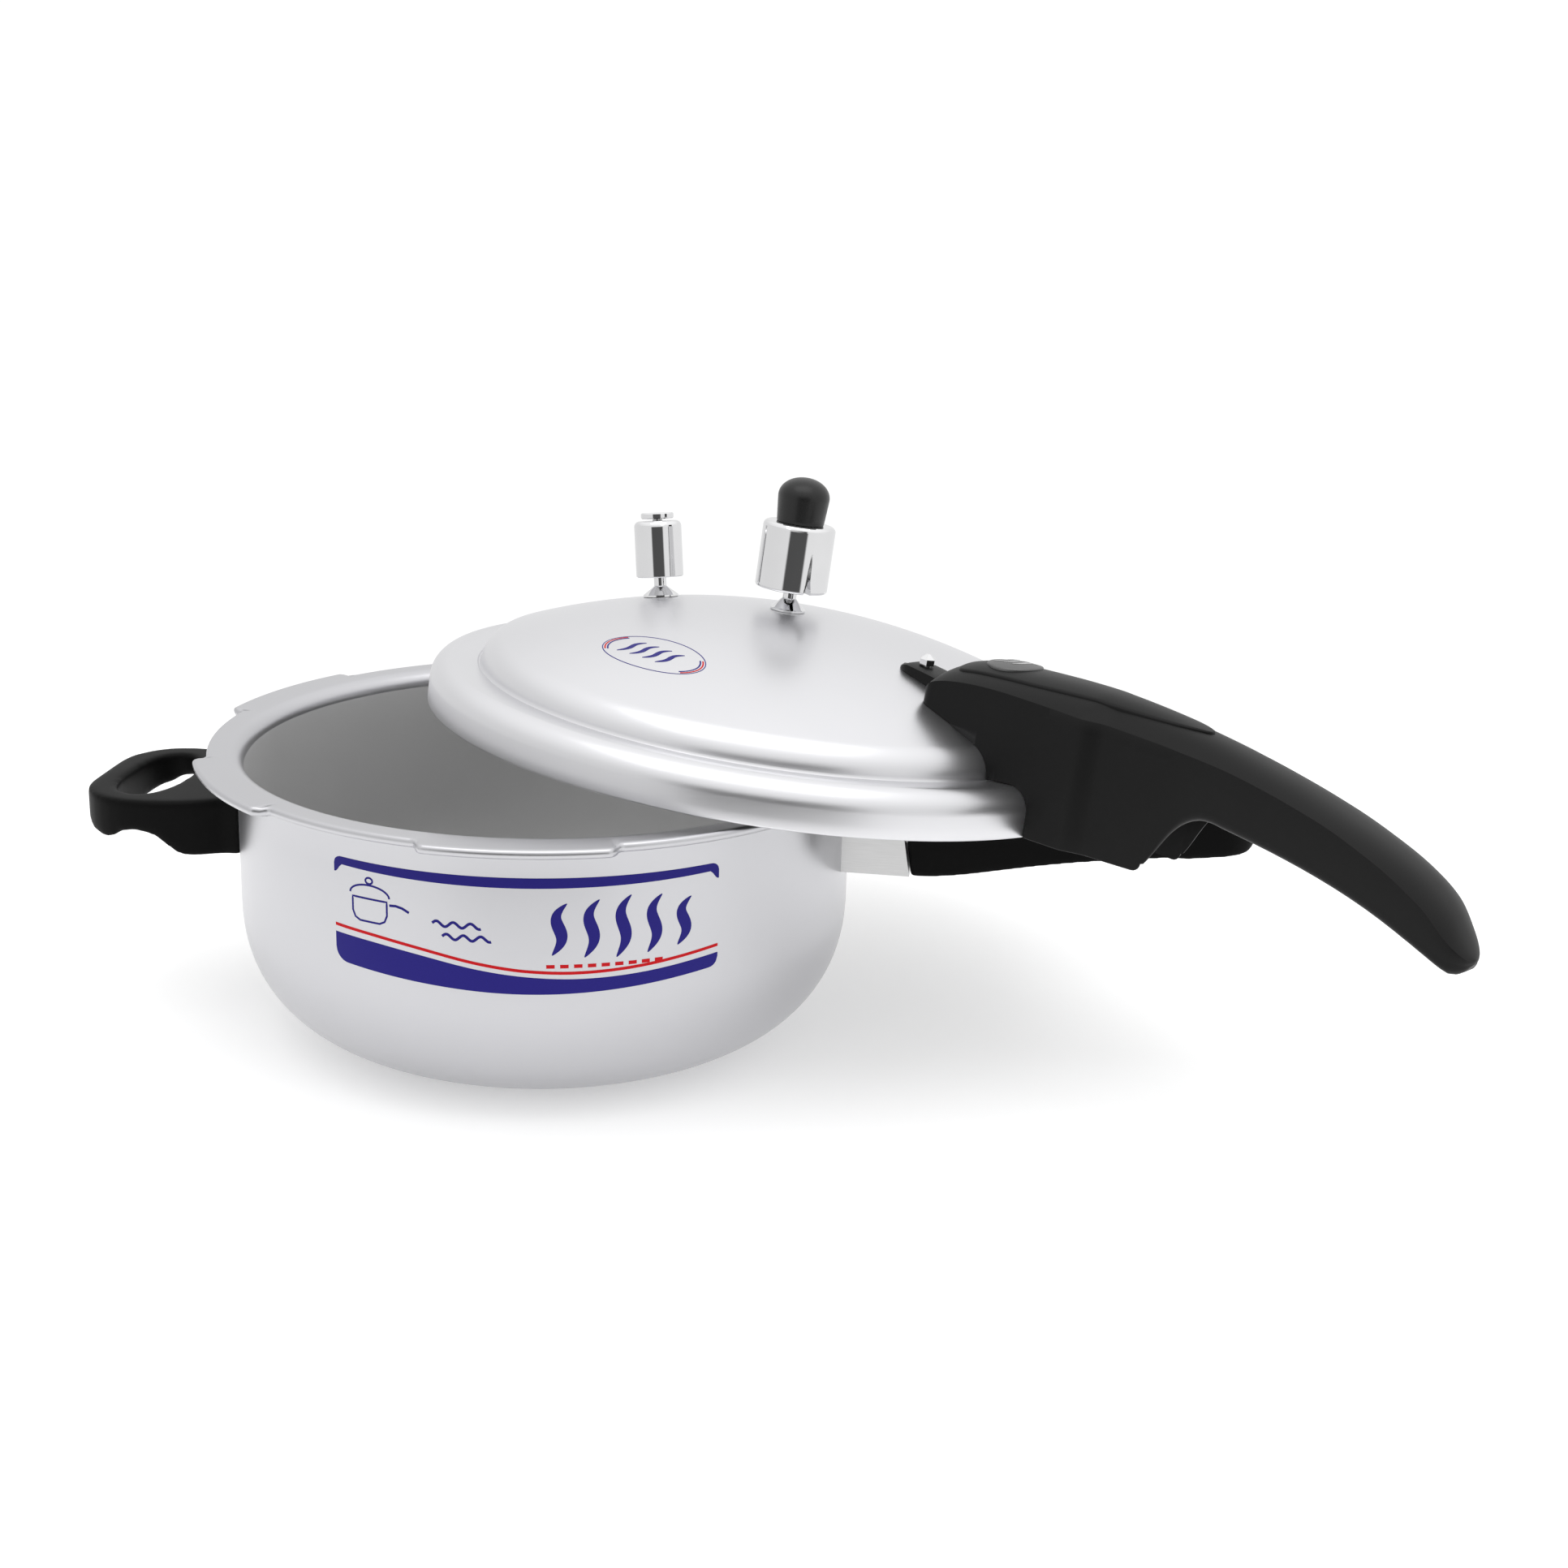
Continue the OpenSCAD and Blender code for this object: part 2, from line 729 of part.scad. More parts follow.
// Plan outline of the cover plate, grown by a gap
module cover_plan(g) {
    w = cover_w / 2 + g;
    s0 = cover_s - g;
    s1 = cover_s + cover_len + g;
    half = concat(
        arc([s0 + 5, w - 5], 5, 180, 90, 4),
        curve([s0 + 40, w], [s0 + 66, w - 1], [s1 - 22, w - 7], [s1, 1.5], 9)
    );
    polygon(concat(half, [for (i = [len(half) - 1 : -1 : 0]) [half[i][0], -half[i][1]]]));
}

// Side outline of the cover plate: a band that follows the block's top
module cover_side(up, down) {
    line = curve([block_s + 2, block_h - 7.6], [block_s + 15, block_h + 1.8],
        [block_s + 70, block_h + 2.1], [block_s + 107.6, block_h - 3.9], 12);
    extra = [[block_s + 130, block_h - 7.5]];
    points = concat(line, extra);
    polygon(concat(
        [for (p = points) [p[0], p[1] + up]],
        [for (i = [len(points) - 1 : -1 : 0]) [points[i][0], points[i][1] - down]]
    ));
}

module lid_handle() {
    color(black)
        on_lid()
            difference() {
                union() {
                    intersection() {
                        side_extrude(block_w + 4)
                            lid_handle_side();
                        translate([0, 0, -5])
                            linear_extrude(block_h + 20)
                                lid_handle_plan();
                    }
                    // tongue over the dome, held by the cap nut
                    intersection() {
                        translate([0, 0, dome_z(block_s) - 6])
                            linear_extrude(tongue_top - dome_z(block_s) + 6)
                                union() {
                                    translate([tongue_tip_s + tongue_half, 0])
                                        circle(r = tongue_half, $fn = 48);
                                    translate([tongue_tip_s + tongue_half, -tongue_half])
                                        square([block_s - tongue_tip_s, 2 * tongue_half]);
                                }
                        cylinder(r = block_s + 12, h = block_h, $fn = 96);
                    }
                }
                lid_form(handle_gap);
                intersection() {
                    side_extrude(block_w)
                        cover_side(10, cover_t + cover_gap);
                    translate([0, 0, 20])
                        linear_extrude(block_h)
                            cover_plan(cover_gap);
                }
                badge_seat();
                translate([lid_r - 5, -lid_tab_w / 2 - 0.1, lid_tab_z - 0.1])
                    cube([lid_tab_end - lid_r + 5.1, lid_tab_w + 0.2, lid_tab_t + 0.2]);
                translate([lid_r - 5, -lid_tab_w / 2 - 0.1, 0.5])
                    cube([7.1, lid_tab_w + 0.2, skirt_h - 0.8]);
                translate([lid_screw_s, 0, -1])
                    cylinder(r = screw_head_r + 0.3, h = lid_tab_z + 0.95, $fn = 32);
                translate([lid_screw_s, 0, 0])
                    cylinder(r = screw_r + 0.1, h = 21, $fn = 32);
                translate([nut_s, 0, 20])
                    cylinder(r = stud_r + 0.2, h = 40, $fn = 32);
            }
}

module lid_handle_cover() {
    color(black)
        on_lid()
            difference() {
                intersection() {
                    side_extrude(block_w)
                        cover_side(0.7, cover_t);
                    translate([0, 0, 20])
                        linear_extrude(block_h)
                            cover_plan(0);
                }
                badge_seat();
            }
}

// Round recess for the badge, through the cover plate into the block
module badge_seat() {
    translate([badge_s, 0, badge_z - 0.1])
        cylinder(r = badge_d / 2 + 0.1, h = 10, $fn = 64);
}

// Round badge with a slightly domed face
module handle_badge() {
    color(steel)
        on_lid()
            translate([badge_s, 0, badge_z])
                rotate_extrude($fn = 64)
                    polygon(concat(
                        [[0, 0], [badge_d / 2, 0], [badge_d / 2, badge_t - 0.8]],
                        curve([badge_d / 2 - 0.5, badge_t - 0.4], [badge_d / 3, badge_t + 0.3],
                            [3, badge_t + 0.6], [0, badge_t + 0.6], 6)
                    ));
}

module tongue_stud() {
    color(steel)
        on_lid()
            difference() {
                translate([nut_s, 0, dome_z(nut_s) - 1])
                    cylinder(r = stud_r, h = tongue_top - dome_z(nut_s) + 3.2, $fn = 32);
                lid_form(0);
            }
}

// Cap nut with flats and a pointed top
module tongue_nut() {
    color(chrome)
        on_lid()
            translate([nut_s, 0, tongue_top])
                difference() {
                    union() {
                        cylinder(r = 3.1, h = 2.2, $fn = 6);
                        translate([0, 0, 2.2])
                            cylinder(r1 = 3.1, r2 = 0.6, h = 1.9, $fn = 6);
                    }
                    translate([0, 0, -1])
                        cylinder(r = stud_r + 0.02, h = 3.3, $fn = 32);
                }
}

// Steam pipe near the lid's centre, with its flared foot
module vent_pipe() {
    n = vent_d / 2;
    color(chrome)
        on_vent()
            rotate_extrude($fn = 64)
                polygon([
                    [vent_bore_d / 2, -15],
                    [vent_hole_r - 0.1, -15],
                    [vent_hole_r - 0.1, 0.05],
                    [vent_foot_d / 2, 0.05],
                    [vent_foot_d / 2, 0.8],
                    [vent_foot_d / 2 - 0.4, 1.1],
                    [n + 0.2, vent_neck_z],
                    [n, vent_neck_z + 0.4],
                    [n, vent_pipe_h - 0.8],
                    [n - 0.8, vent_pipe_h],
                    [vent_bore_d / 2 + 0.5, vent_pipe_h],
                    [vent_bore_d / 2, vent_pipe_h - 0.5]
                ]);
}

// Sealing washer and hexagon nut under the lid
module under_washer() {
    difference() {
        translate([0, 0, -lid_t - under_gap - 1.7])
            cylinder(r = 7.6, h = 1.7, $fn = 48);
        translate([0, 0, -20])
            cylinder(r = vent_hole_r - 0.05, h = 30, $fn = 48);
    }
}

module under_nut() {
    difference() {
        translate([0, 0, -lid_t - under_gap - 6.7])
            cylinder(r = 7.4, h = 5, $fn = 6);
        translate([0, 0, -20])
            cylinder(r = vent_hole_r - 0.05, h = 30, $fn = 48);
    }
}

module vent_washer() {
    color(rubber)
        on_vent()
            under_washer();
}

module vent_nut() {
    color(steel)
        on_vent()
            under_nut();
}

// Ring inside the weight that keeps it upright on the pipe
module weight_clip() {
    color(steel)
        on_vent()
            translate([0, 0, weight_lift + 2])
                difference() {
                    cylinder(r = clip_or, h = 1.2, $fn = 48);
                    translate([0, 0, -1])
                        cylinder(r = clip_ir, h = 4, $fn = 48);
                }
}

module weight_sleeve() {
    r = weight_d / 2;
    color(chrome)
        on_vent()
            translate([0, 0, weight_lift])
                difference() {
                    rotate_extrude($fn = 96)
                        polygon(concat(
                            [[0, 0], [r - 1, 0]],
                            arc([r - 1, 1], 1, -90, 0, 4),
                            arc([r - 2, weight_h - 2], 2, 0, 90, 5),
                            [[0, weight_h]]
                        ));
                    translate([0, 0, -1])
                        cylinder(r = weight_bore_r, h = weight_bore_h + 1, $fn = 48);
                    cylinder(r = knob_seat_r + 0.05, h = weight_h * 2, $fn = 48);
                    // steam slots
                    for (a = [0, 180])
                        rotate([0, 0, a + slot_turn])
                            rotate([90, 0, 0])
                                linear_extrude(r + 2)
                                    polygon([[-slot_half, -1], [slot_half, -1], [0, steam_slot_h]]);
                }
}

module weight_knob() {
    r = knob_d / 2;
    color(black)
        on_vent()
            translate([0, 0, weight_lift + weight_h + 0.05])
                rotate_extrude($fn = 64)
                    polygon(concat(
                        [[0, 0.6], [knob_seat_r + 0.4, 0.6], [knob_seat_r + 0.4, 0], [r - 1.3, 0]],
                        arc([r - 1.3, 0.6], 0.6, -90, 0, 3),
                        curve([r - 0.5, 2], [r, knob_base_h - 2], [r, knob_base_h], [r - 0.6, knob_base_h + 1], 4),
                        curve([r - 1, knob_base_h + 1.8], [r - 3.4, knob_h - 1.8], [r - 6, knob_h], [0, knob_h], 8)
                    ));
}

// Pin inside the weight whose cone closes the steam bore
module weight_needle() {
    tip_z = vent_pipe_h - weight_lift + needle_gap;
    color(steel)
        on_vent()
            translate([0, 0, weight_lift])
                rotate_extrude($fn = 48)
                    polygon([
                        [0, tip_z - 0.4],
                        [vent_bore_d / 2 - 0.2, tip_z],
                        [knob_seat_r - 0.4, tip_z + 1.6],
                        [knob_seat_r - 0.4, weight_bore_h - 1.5],
                        [weight_bore_r - 1, weight_bore_h - 1.5],
                        [weight_bore_r - 1, weight_bore_h - 0.02],
                        [knob_seat_r, weight_bore_h - 0.02],
                        [knob_seat_r, weight_h + 0.6],
                        [0, weight_h + 0.6]
                    ]);
}

module safety_stem() {
    color(chrome)
        on_safety()
            difference() {
                rotate_extrude($fn = 64)
                    polygon([
                        [0, -12],
                        [vent_hole_r - 0.1, -12],
                        [vent_hole_r - 0.1, 0.1],
                        [safety_foot_r, 0.1],
                        [safety_foot_r, 0.8],
                        [safety_foot_r - 0.4, 1.1],
                        [safety_neck_r + 0.2, 4],
                        [safety_neck_r, 4.4],
                        [safety_neck_r, safety_lift + 1],
                        [safety_bore_r - 0.05, safety_lift + 1],
                        [safety_bore_r - 0.05, safety_lift + 3.6],
                        [0, safety_lift + 3.6]
                    ]);
                translate([0, 0, -13])
                    cylinder(r = 1.2, h = 40, $fn = 32);
            }
}

module safety_washer() {
    color(rubber)
        on_safety()
            under_washer();
}

module safety_nut() {
    color(steel)
        on_safety()
            under_nut();
}

module safety_case() {
    r = safety_d / 2;
    color(chrome)
        on_safety()
            translate([0, 0, safety_lift])
                difference() {
                    rotate_extrude($fn = 96)
                        polygon(concat(
                            [[0, 0], [r - 0.4, 0], [r, 0.4]],
                            arc([r - 2.2, safety_h - 2.2], 2.2, 0, 90, 6),
                            [[0, safety_h]]
                        ));
                    translate([0, 0, -1])
                        cylinder(r = safety_neck_r + 0.4, h = 5, $fn = 48);
                    translate([0, 0, 1])
                        cylinder(r = safety_bore_r, h = safety_h - 3.6, $fn = 48);
                    cylinder(r = plunger_r + 0.3, h = safety_h * 2, $fn = 48);
                }
}

// Closing plunger: seat, collar and rod up through the case
module safety_plunger() {
    color(steel)
        on_safety()
            translate([0, 0, safety_lift])
                rotate_extrude($fn = 48)
                    polygon([
                        [0, 3.9],
                        [collar_r - 0.6, 3.9],
                        [collar_r, 4.5],
                        [collar_r, 6.4],
                        [plunger_r, 6.4],
                        [plunger_r, safety_h + disc_gap + 0.3],
                        [0, safety_h + disc_gap + 0.3]
                    ]);
}

// Coil spring round the plunger's rod, as a stack of rings
module safety_spring() {
    z0 = safety_lift + 6.9;
    z1 = safety_lift + safety_h - 3.2;
    coils = 6;
    color(steel)
        on_safety()
            for (i = [0 : coils - 1])
                translate([0, 0, z0 + (z1 - z0) * i / (coils - 1)])
                    rotate_extrude($fn = 48)
                        translate([collar_r - spring_wire, 0])
                            circle(r = spring_wire / 2, $fn = 16);
}

module safety_disc() {
    r = safety_disc_d / 2;
    color(chrome)
        on_safety()
            translate([0, 0, safety_lift + safety_h + disc_gap])
                difference() {
                    rotate_extrude($fn = 64)
                        polygon([
                            [0, 0],
                            [r - 0.4, 0],
                            [r, 0.4],
                            [r, 1.9],
                            [r - 0.4, 2.3],
                            [0, 2.4]
                        ]);
                    translate([0, 0, -1])
                        cylinder(r = plunger_r + 0.02, h = 1.35, $fn = 48);
                }
}

pan_body();
pan_bracket();
pan_handle();
pan_handle_screw();
helper_bracket();
helper_handle();
helper_screw();
lid_gasket();
lid_shell();
lid_bracket();
lid_bracket_screw();
lid_handle();
lid_handle_cover();
handle_badge();
tongue_stud();
tongue_nut();
vent_pipe();
vent_washer();
vent_nut();
weight_clip();
weight_sleeve();
weight_knob();
weight_needle();
safety_stem();
safety_washer();
safety_nut();
safety_case();
safety_spring();
safety_plunger();
safety_disc();
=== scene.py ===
import bmesh
import bpy
import json
import math
from mathutils import Matrix, Vector


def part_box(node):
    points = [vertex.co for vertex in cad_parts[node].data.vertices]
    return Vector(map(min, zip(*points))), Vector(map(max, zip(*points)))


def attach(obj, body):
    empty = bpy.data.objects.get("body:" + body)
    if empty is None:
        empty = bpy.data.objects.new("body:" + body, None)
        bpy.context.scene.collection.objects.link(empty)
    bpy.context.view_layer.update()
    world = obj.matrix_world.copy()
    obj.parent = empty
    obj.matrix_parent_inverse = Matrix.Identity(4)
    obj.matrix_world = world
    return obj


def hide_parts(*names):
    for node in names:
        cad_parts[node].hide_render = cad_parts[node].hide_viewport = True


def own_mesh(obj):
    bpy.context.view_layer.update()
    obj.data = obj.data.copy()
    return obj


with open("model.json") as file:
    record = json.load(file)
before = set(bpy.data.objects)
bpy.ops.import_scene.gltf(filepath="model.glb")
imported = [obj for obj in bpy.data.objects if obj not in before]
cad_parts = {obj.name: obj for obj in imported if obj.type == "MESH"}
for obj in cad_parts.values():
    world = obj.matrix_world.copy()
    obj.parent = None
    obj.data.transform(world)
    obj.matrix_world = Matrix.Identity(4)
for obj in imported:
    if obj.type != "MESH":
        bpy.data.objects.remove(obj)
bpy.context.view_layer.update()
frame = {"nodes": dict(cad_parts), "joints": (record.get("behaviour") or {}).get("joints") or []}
print("frame loaded:", len(frame["nodes"]), "nodes")

mm = 0.001

cameraSet = {
    "eye": (0.1985, -0.8415, 0.3604),
    "look": (-0.1214, 0.9477, -0.2953),
    "roll": 1.643,  # degrees, clockwise
    "lens": 54.353,
    "film": 36.0,
    "clip": (0.01, 50.0),
}


def addCamera(c):
    look = Vector(c["look"]).normalized()
    side = look.cross(Vector((0, 0, 1))).normalized()
    rise = side.cross(look)
    roll = math.radians(c["roll"])
    right = side * math.cos(roll) + rise * math.sin(roll)
    up = right.cross(look)
    data = bpy.data.cameras.new("studioCamera")
    data.lens = c["lens"]
    data.sensor_width = c["film"]
    data.clip_start, data.clip_end = c["clip"]
    cam = bpy.data.objects.new("studioCamera", data)
    turn = Matrix((right, up, -look)).transposed().to_4x4()
    cam.matrix_world = Matrix.Translation(c["eye"]) @ turn
    bpy.context.scene.collection.objects.link(cam)
    bpy.context.scene.camera = cam


addCamera(cameraSet)
print("camera placed")


class Wire:  # one output socket, so that shader maths reads as plain sums
    def __init__(self, tree, socket):
        self.tree = tree
        self.socket = socket

    def maths(self, operation, a, b):
        return self.tree.node("ShaderNodeMath", {"operation": operation}, {0: a, 1: b})

    def __add__(self, other): return self.maths("ADD", self, other)
    def __radd__(self, other): return self.maths("ADD", other, self)
    def __sub__(self, other): return self.maths("SUBTRACT", self, other)
    def __rsub__(self, other): return self.maths("SUBTRACT", other, self)
    def __mul__(self, other): return self.maths("MULTIPLY", self, other)
    def __rmul__(self, other): return self.maths("MULTIPLY", other, self)
    def __truediv__(self, other): return self.maths("DIVIDE", self, other)
    def __rtruediv__(self, other): return self.maths("DIVIDE", other, self)
    def __pow__(self, other): return self.maths("POWER", self, other)
    def __rpow__(self, other): return self.maths("POWER", other, self)


class NodeTree:
    def __init__(self, tree):
        self.tree = tree
        tree.nodes.clear()

    def node(self, kind, settings=None, values=None, out=0):
        made = self.tree.nodes.new(kind)
        for key, value in (settings or {}).items():
            setattr(made, key, value)
        for key, value in (values or {}).items():
            if isinstance(value, Wire):
                self.tree.links.new(value.socket, made.inputs[key])
            else:
                made.inputs[key].default_value = value
        return Wire(self, made.outputs[out] if made.outputs else None)

    def split(self, vector):
        parts = self.node("ShaderNodeSeparateXYZ", {}, {0: vector})
        return [Wire(self, socket) for socket in parts.socket.node.outputs]

    def blend(self, factor, a, b):
        return self.node("ShaderNodeMix", {"data_type": "RGBA"}, {0: factor, 6: a, 7: b}, 2)

    def fade(self, value, low, high):  # 0 below low, 1 above high, soft between
        return self.node("ShaderNodeMapRange", {"interpolation_type": "SMOOTHSTEP"},
                         {0: value, 1: low, 2: high, 3: 0.0, 4: 1.0})

    def noise(self, vector, scale, detail=2.0):
        return self.node("ShaderNodeTexNoise", {},
                         {"Vector": vector, "Scale": scale, "Detail": detail, "Roughness": 0.5})

    def bump(self, height, strength, deep):  # deep in metres
        return self.node("ShaderNodeBump", {},
                         {"Strength": strength, "Distance": deep, "Height": height})


def grey(v, tint=0.0):
    return (v, v, v * (1 + tint), 1)


def paint(name, finish, *values):
    mat = bpy.data.materials.new(name)
    mat.use_nodes = True
    tree = NodeTree(mat.node_tree)
    place = tree.node("ShaderNodeTexCoord", {}, {}, "Object")
    surface = tree.node("ShaderNodeBsdfPrincipled", {}, finish(tree, place, *values))
    tree.node("ShaderNodeOutputMaterial", {}, {0: surface})
    return mat


# The three base tones of the one aluminium are painted light and shade: the pan wall's base is set
# darker than the lid's as painted shade, and the inside's base is set lighter and only half
# metallic as painted light that lifts the shade inside the pan and under the lid.
aluminium = {
    "wall": 0.555, "wallTint": 0.035, "lid": 0.73, "lidTint": 0.025, "rough": 0.31,
    "inside": 0.71, "insideRough": 0.46, "insideMetal": 0.55,
    "rings": 2600.0, "grain": 5200.0, "cloud": 22.0,  # noise scales
    "spread": 0.02, "cloudShare": 0.7, "roughDown": 0.05, "ringRough": 0.06, "cloudRough": 0.05,
    "ringShare": 0.55, "bump": 0.10, "deep": 0.00008,
}


def spunMetal(t, place, base, rough, tint, centre, metal=1.0):
    a = aluminium
    x, y, z = t.split(t.node("ShaderNodeVectorMath", {"operation": "SUBTRACT"},
                             {0: place, 1: centre}))
    outward = (x * x + y * y) ** 0.5  # distance from the axis that it was spun on
    rings = t.noise(t.node("ShaderNodeCombineXYZ", {}, {0: outward, 1: z, 2: 0.0}), a["rings"], 3.0)
    grain = t.noise(place, a["grain"])
    cloud = t.noise(place, a["cloud"], 3.0)
    shade = cloud * a["cloudShare"] + rings * (1 - a["cloudShare"])
    height = rings * a["ringShare"] + grain * (1 - a["ringShare"])
    return {"Base Color": t.blend(shade, grey(base - a["spread"], tint),
                                  grey(base + a["spread"], tint)),
            "Roughness": (rough - a["roughDown"] + rings * a["ringRough"]
                          + cloud * a["cloudRough"]),
            "Metallic": metal, "Normal": t.bump(height, a["bump"], a["deep"])}


panAxis = (0, 0, 0)
joints = {j["name"]: j for j in frame["joints"]}
lidPin = joints["lid_turn"]["pos_m"]
# panOutside carries the painted shade of the darker wall base; panInside and lidInside carry the
# painted light of the lighter, half metallic inside base.
panOutside = paint("panOutside", spunMetal, aluminium["wall"], aluminium["rough"],
                   aluminium["wallTint"], panAxis)
lidOutside = paint("lidOutside", spunMetal, aluminium["lid"], aluminium["rough"],
                   aluminium["lidTint"], tuple(lidPin))
panInside = paint("panInside", spunMetal, aluminium["inside"], aluminium["insideRough"],
                  0.0, panAxis, aluminium["insideMetal"])
lidInside = paint("lidInside", spunMetal, aluminium["inside"], aluminium["insideRough"],
                  0.0, tuple(lidPin))

plastic = {
    "grain": 2400.0, "cloud": 45.0, "dark": 0.7, "light": 1.5, "cloudShare": 0.6,
    "roughDown": 0.06, "cloudRough": 0.08, "grainRough": 0.05, "bump": 0.16, "deep": 0.00012,
    "handle": (0.0048, 0.42, 0.16),  # colour, roughness, gloss
    "lower": (0.0032, 0.46, 0.07),
    "knob": (0.008, 0.33, 0.40),
}


def mouldedBlack(t, place, colour, rough, gloss):
    p = plastic
    grain = t.noise(place, p["grain"], 3.0)
    cloud = t.noise(place, p["cloud"], 3.0)
    shade = cloud * p["cloudShare"] + grain * (1 - p["cloudShare"])
    return {"Base Color": t.blend(shade, grey(colour * p["dark"]), grey(colour * p["light"])),
            "Roughness": (rough - p["roughDown"] + cloud * p["cloudRough"]
                          + grain * p["grainRough"]),
            "Specular IOR Level": gloss, "Normal": t.bump(grain, p["bump"], p["deep"])}


handleBlack = paint("handleBlack", mouldedBlack, *plastic["handle"])
lowerBlack = paint("lowerBlack", mouldedBlack, *plastic["lower"])
knobBlack = paint("knobBlack", mouldedBlack, *plastic["knob"])

plating = {
    "fine": 1500.0, "cloud": 90.0, "dull": 0.94, "uneven": 0.4, "bump": 0.05, "deep": 0.00004,
    "chrome": (0.80, 0.045, 0.01),  # colour, roughness, tint
    "screw": (0.62, 0.24, 0.0),
}


def plate(t, place, base, rough, tint):
    p = plating
    fine = t.noise(place, p["fine"], 3.0)
    cloud = t.noise(place, p["cloud"])
    return {"Base Color": t.blend(cloud, grey(base * p["dull"], tint), grey(base, tint)),
            "Metallic": 1.0, "Roughness": rough * (1 - p["uneven"] / 2 + cloud * p["uneven"]),
            "Normal": t.bump(fine, p["bump"], p["deep"])}


steel = {
    "dull": 0.88, "bright": 1.06, "lineRough": 0.1, "bump": 0.12, "deep": 0.00006,
    "bracket": (0.62, 0.34, (120, 2200, 2600)),  # colour, roughness, lines to the metre
    "wire": (0.5, 0.28, (1800, 1800, 500)),
}


def drawnSteel(t, place, base, rough, lineScale):
    s = steel
    drawn = t.node("ShaderNodeVectorMath", {"operation": "MULTIPLY"}, {0: place, 1: lineScale})
    lines = t.noise(drawn, 1.0, 3.0)
    return {"Base Color": t.blend(lines, grey(base * s["dull"]), grey(base * s["bright"])),
            "Metallic": 1.0, "Roughness": rough - s["lineRough"] / 2 + lines * s["lineRough"],
            "Normal": t.bump(lines, s["bump"], s["deep"])}


chromePlate = paint("chromePlate", plate, *plating["chrome"])
screwSteel = paint("screwSteel", plate, *plating["screw"])
bracketSteel = paint("bracketSteel", drawnSteel, *steel["bracket"])
wireSteel = paint("wireSteel", drawnSteel, *steel["wire"])

blasted = {"pits": 3200.0, "dark": 0.09, "light": 0.20, "metal": 0.85, "rough": 0.36,
           "pitRough": 0.18, "bump": 0.3, "deep": 0.0001}


def blastedZinc(t, place):
    b = blasted
    pits = t.noise(place, b["pits"], 3.0)
    return {"Base Color": t.blend(pits, grey(b["dark"]), grey(b["light"])), "Metallic": b["metal"],
            "Roughness": b["rough"] + pits * b["pitRough"],
            "Normal": t.bump(pits, b["bump"], b["deep"])}


badgeGrey = paint("badgeGrey", blastedZinc)

rubber = {"dust": 700.0, "dark": 0.018, "light": 0.035, "rough": 0.55, "dustRough": 0.15,
          "bump": 0.2, "deep": 0.0001}


def rubberSkin(t, place):
    r = rubber
    dust = t.noise(place, r["dust"], 4.0)
    return {"Base Color": t.blend(dust, grey(r["dark"]), grey(r["light"])),
            "Roughness": r["rough"] + dust * r["dustRough"],
            "Normal": t.bump(dust, r["bump"], r["deep"])}


sealRubber = paint("sealRubber", rubberSkin)

inks = {"blue": (0.016, 0.012, 0.165, 1), "red": (0.48, 0.006, 0.010, 1), "thin": 1.25,
        "grain": 2600.0, "rough": 0.36, "grainRough": 0.1, "gloss": 0.12, "bump": 0.05,
        "deep": 0.00005}


def ink(t, place, colour):
    grain = t.noise(place, inks["grain"])
    thin = tuple(c * inks["thin"] for c in colour[:3]) + (1,)  # where less ink was laid
    return {"Base Color": t.blend(grain, colour, thin),
            "Roughness": inks["rough"] + grain * inks["grainRough"],
            "Specular IOR Level": inks["gloss"],
            "Normal": t.bump(grain, inks["bump"], inks["deep"])}


inkBlue = paint("inkBlue", ink, inks["blue"])
inkRed = paint("inkRed", ink, inks["red"])
print("finishes made")


def piece(name, verts, faces, mats, body, slot, nodes=(), faceMat=None, sharp=38):
    data = bpy.data.meshes.new(name)
    data.from_pydata([tuple(v) for v in verts], [], faces)
    data.validate()
    for m in mats:
        data.materials.append(m)
    for i, poly in enumerate(data.polygons):
        poly.use_smooth = True
        if faceMat:
            poly.material_index = faceMat[i]
    data.set_sharp_from_angle(angle=math.radians(sharp))
    obj = bpy.data.objects.new(name, data)
    bpy.context.scene.collection.objects.link(obj)
    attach(obj, body)
    if nodes:
        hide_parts(*nodes)
    return obj


def weld(obj, distance=0.000004):
    b = bmesh.new()
    b.from_mesh(obj.data)
    bmesh.ops.remove_doubles(b, verts=b.verts, dist=distance)
    bmesh.ops.recalc_face_normals(b, faces=b.faces)
    b.to_mesh(obj.data)
    b.free()
    return obj


def onCircle(r, degrees):
    return r * math.cos(math.radians(degrees)), r * math.sin(math.radians(degrees))


def arc(cx, cz, rx, a0, a1, n, rz=None):  # n steps from a0 to a1 degrees, round or oval
    out = []
    for i in range(n + 1):
        a = a0 + (a1 - a0) * i / n
        out.append((cx + onCircle(rx, a)[0], cz + onCircle(rx if rz is None else rz, a)[1]))
    return out


def bez(a, b, c, d, n):
    out = []
    for i in range(n + 1):
        t = i / n
        u = 1 - t
        w = (u ** 3, 3 * u * u * t, 3 * u * t * t, t ** 3)
        out.append(tuple(sum(k * p[j] for k, p in zip(w, (a, b, c, d))) for j in (0, 1)))
    return out


def spread(n, a, b):
    return [a + (b - a) * i / n for i in range(n + 1)]


def along(points, x):  # straight-line reading of a list of (x, value)
    if x <= points[0][0]:
        return points[0][1]
    for (x0, y0), (x1, y1) in zip(points, points[1:]):
        if x <= x1:
            return y1 if x1 == x0 else y0 + (y1 - y0) * (x - x0) / (x1 - x0)
    return points[-1][1]


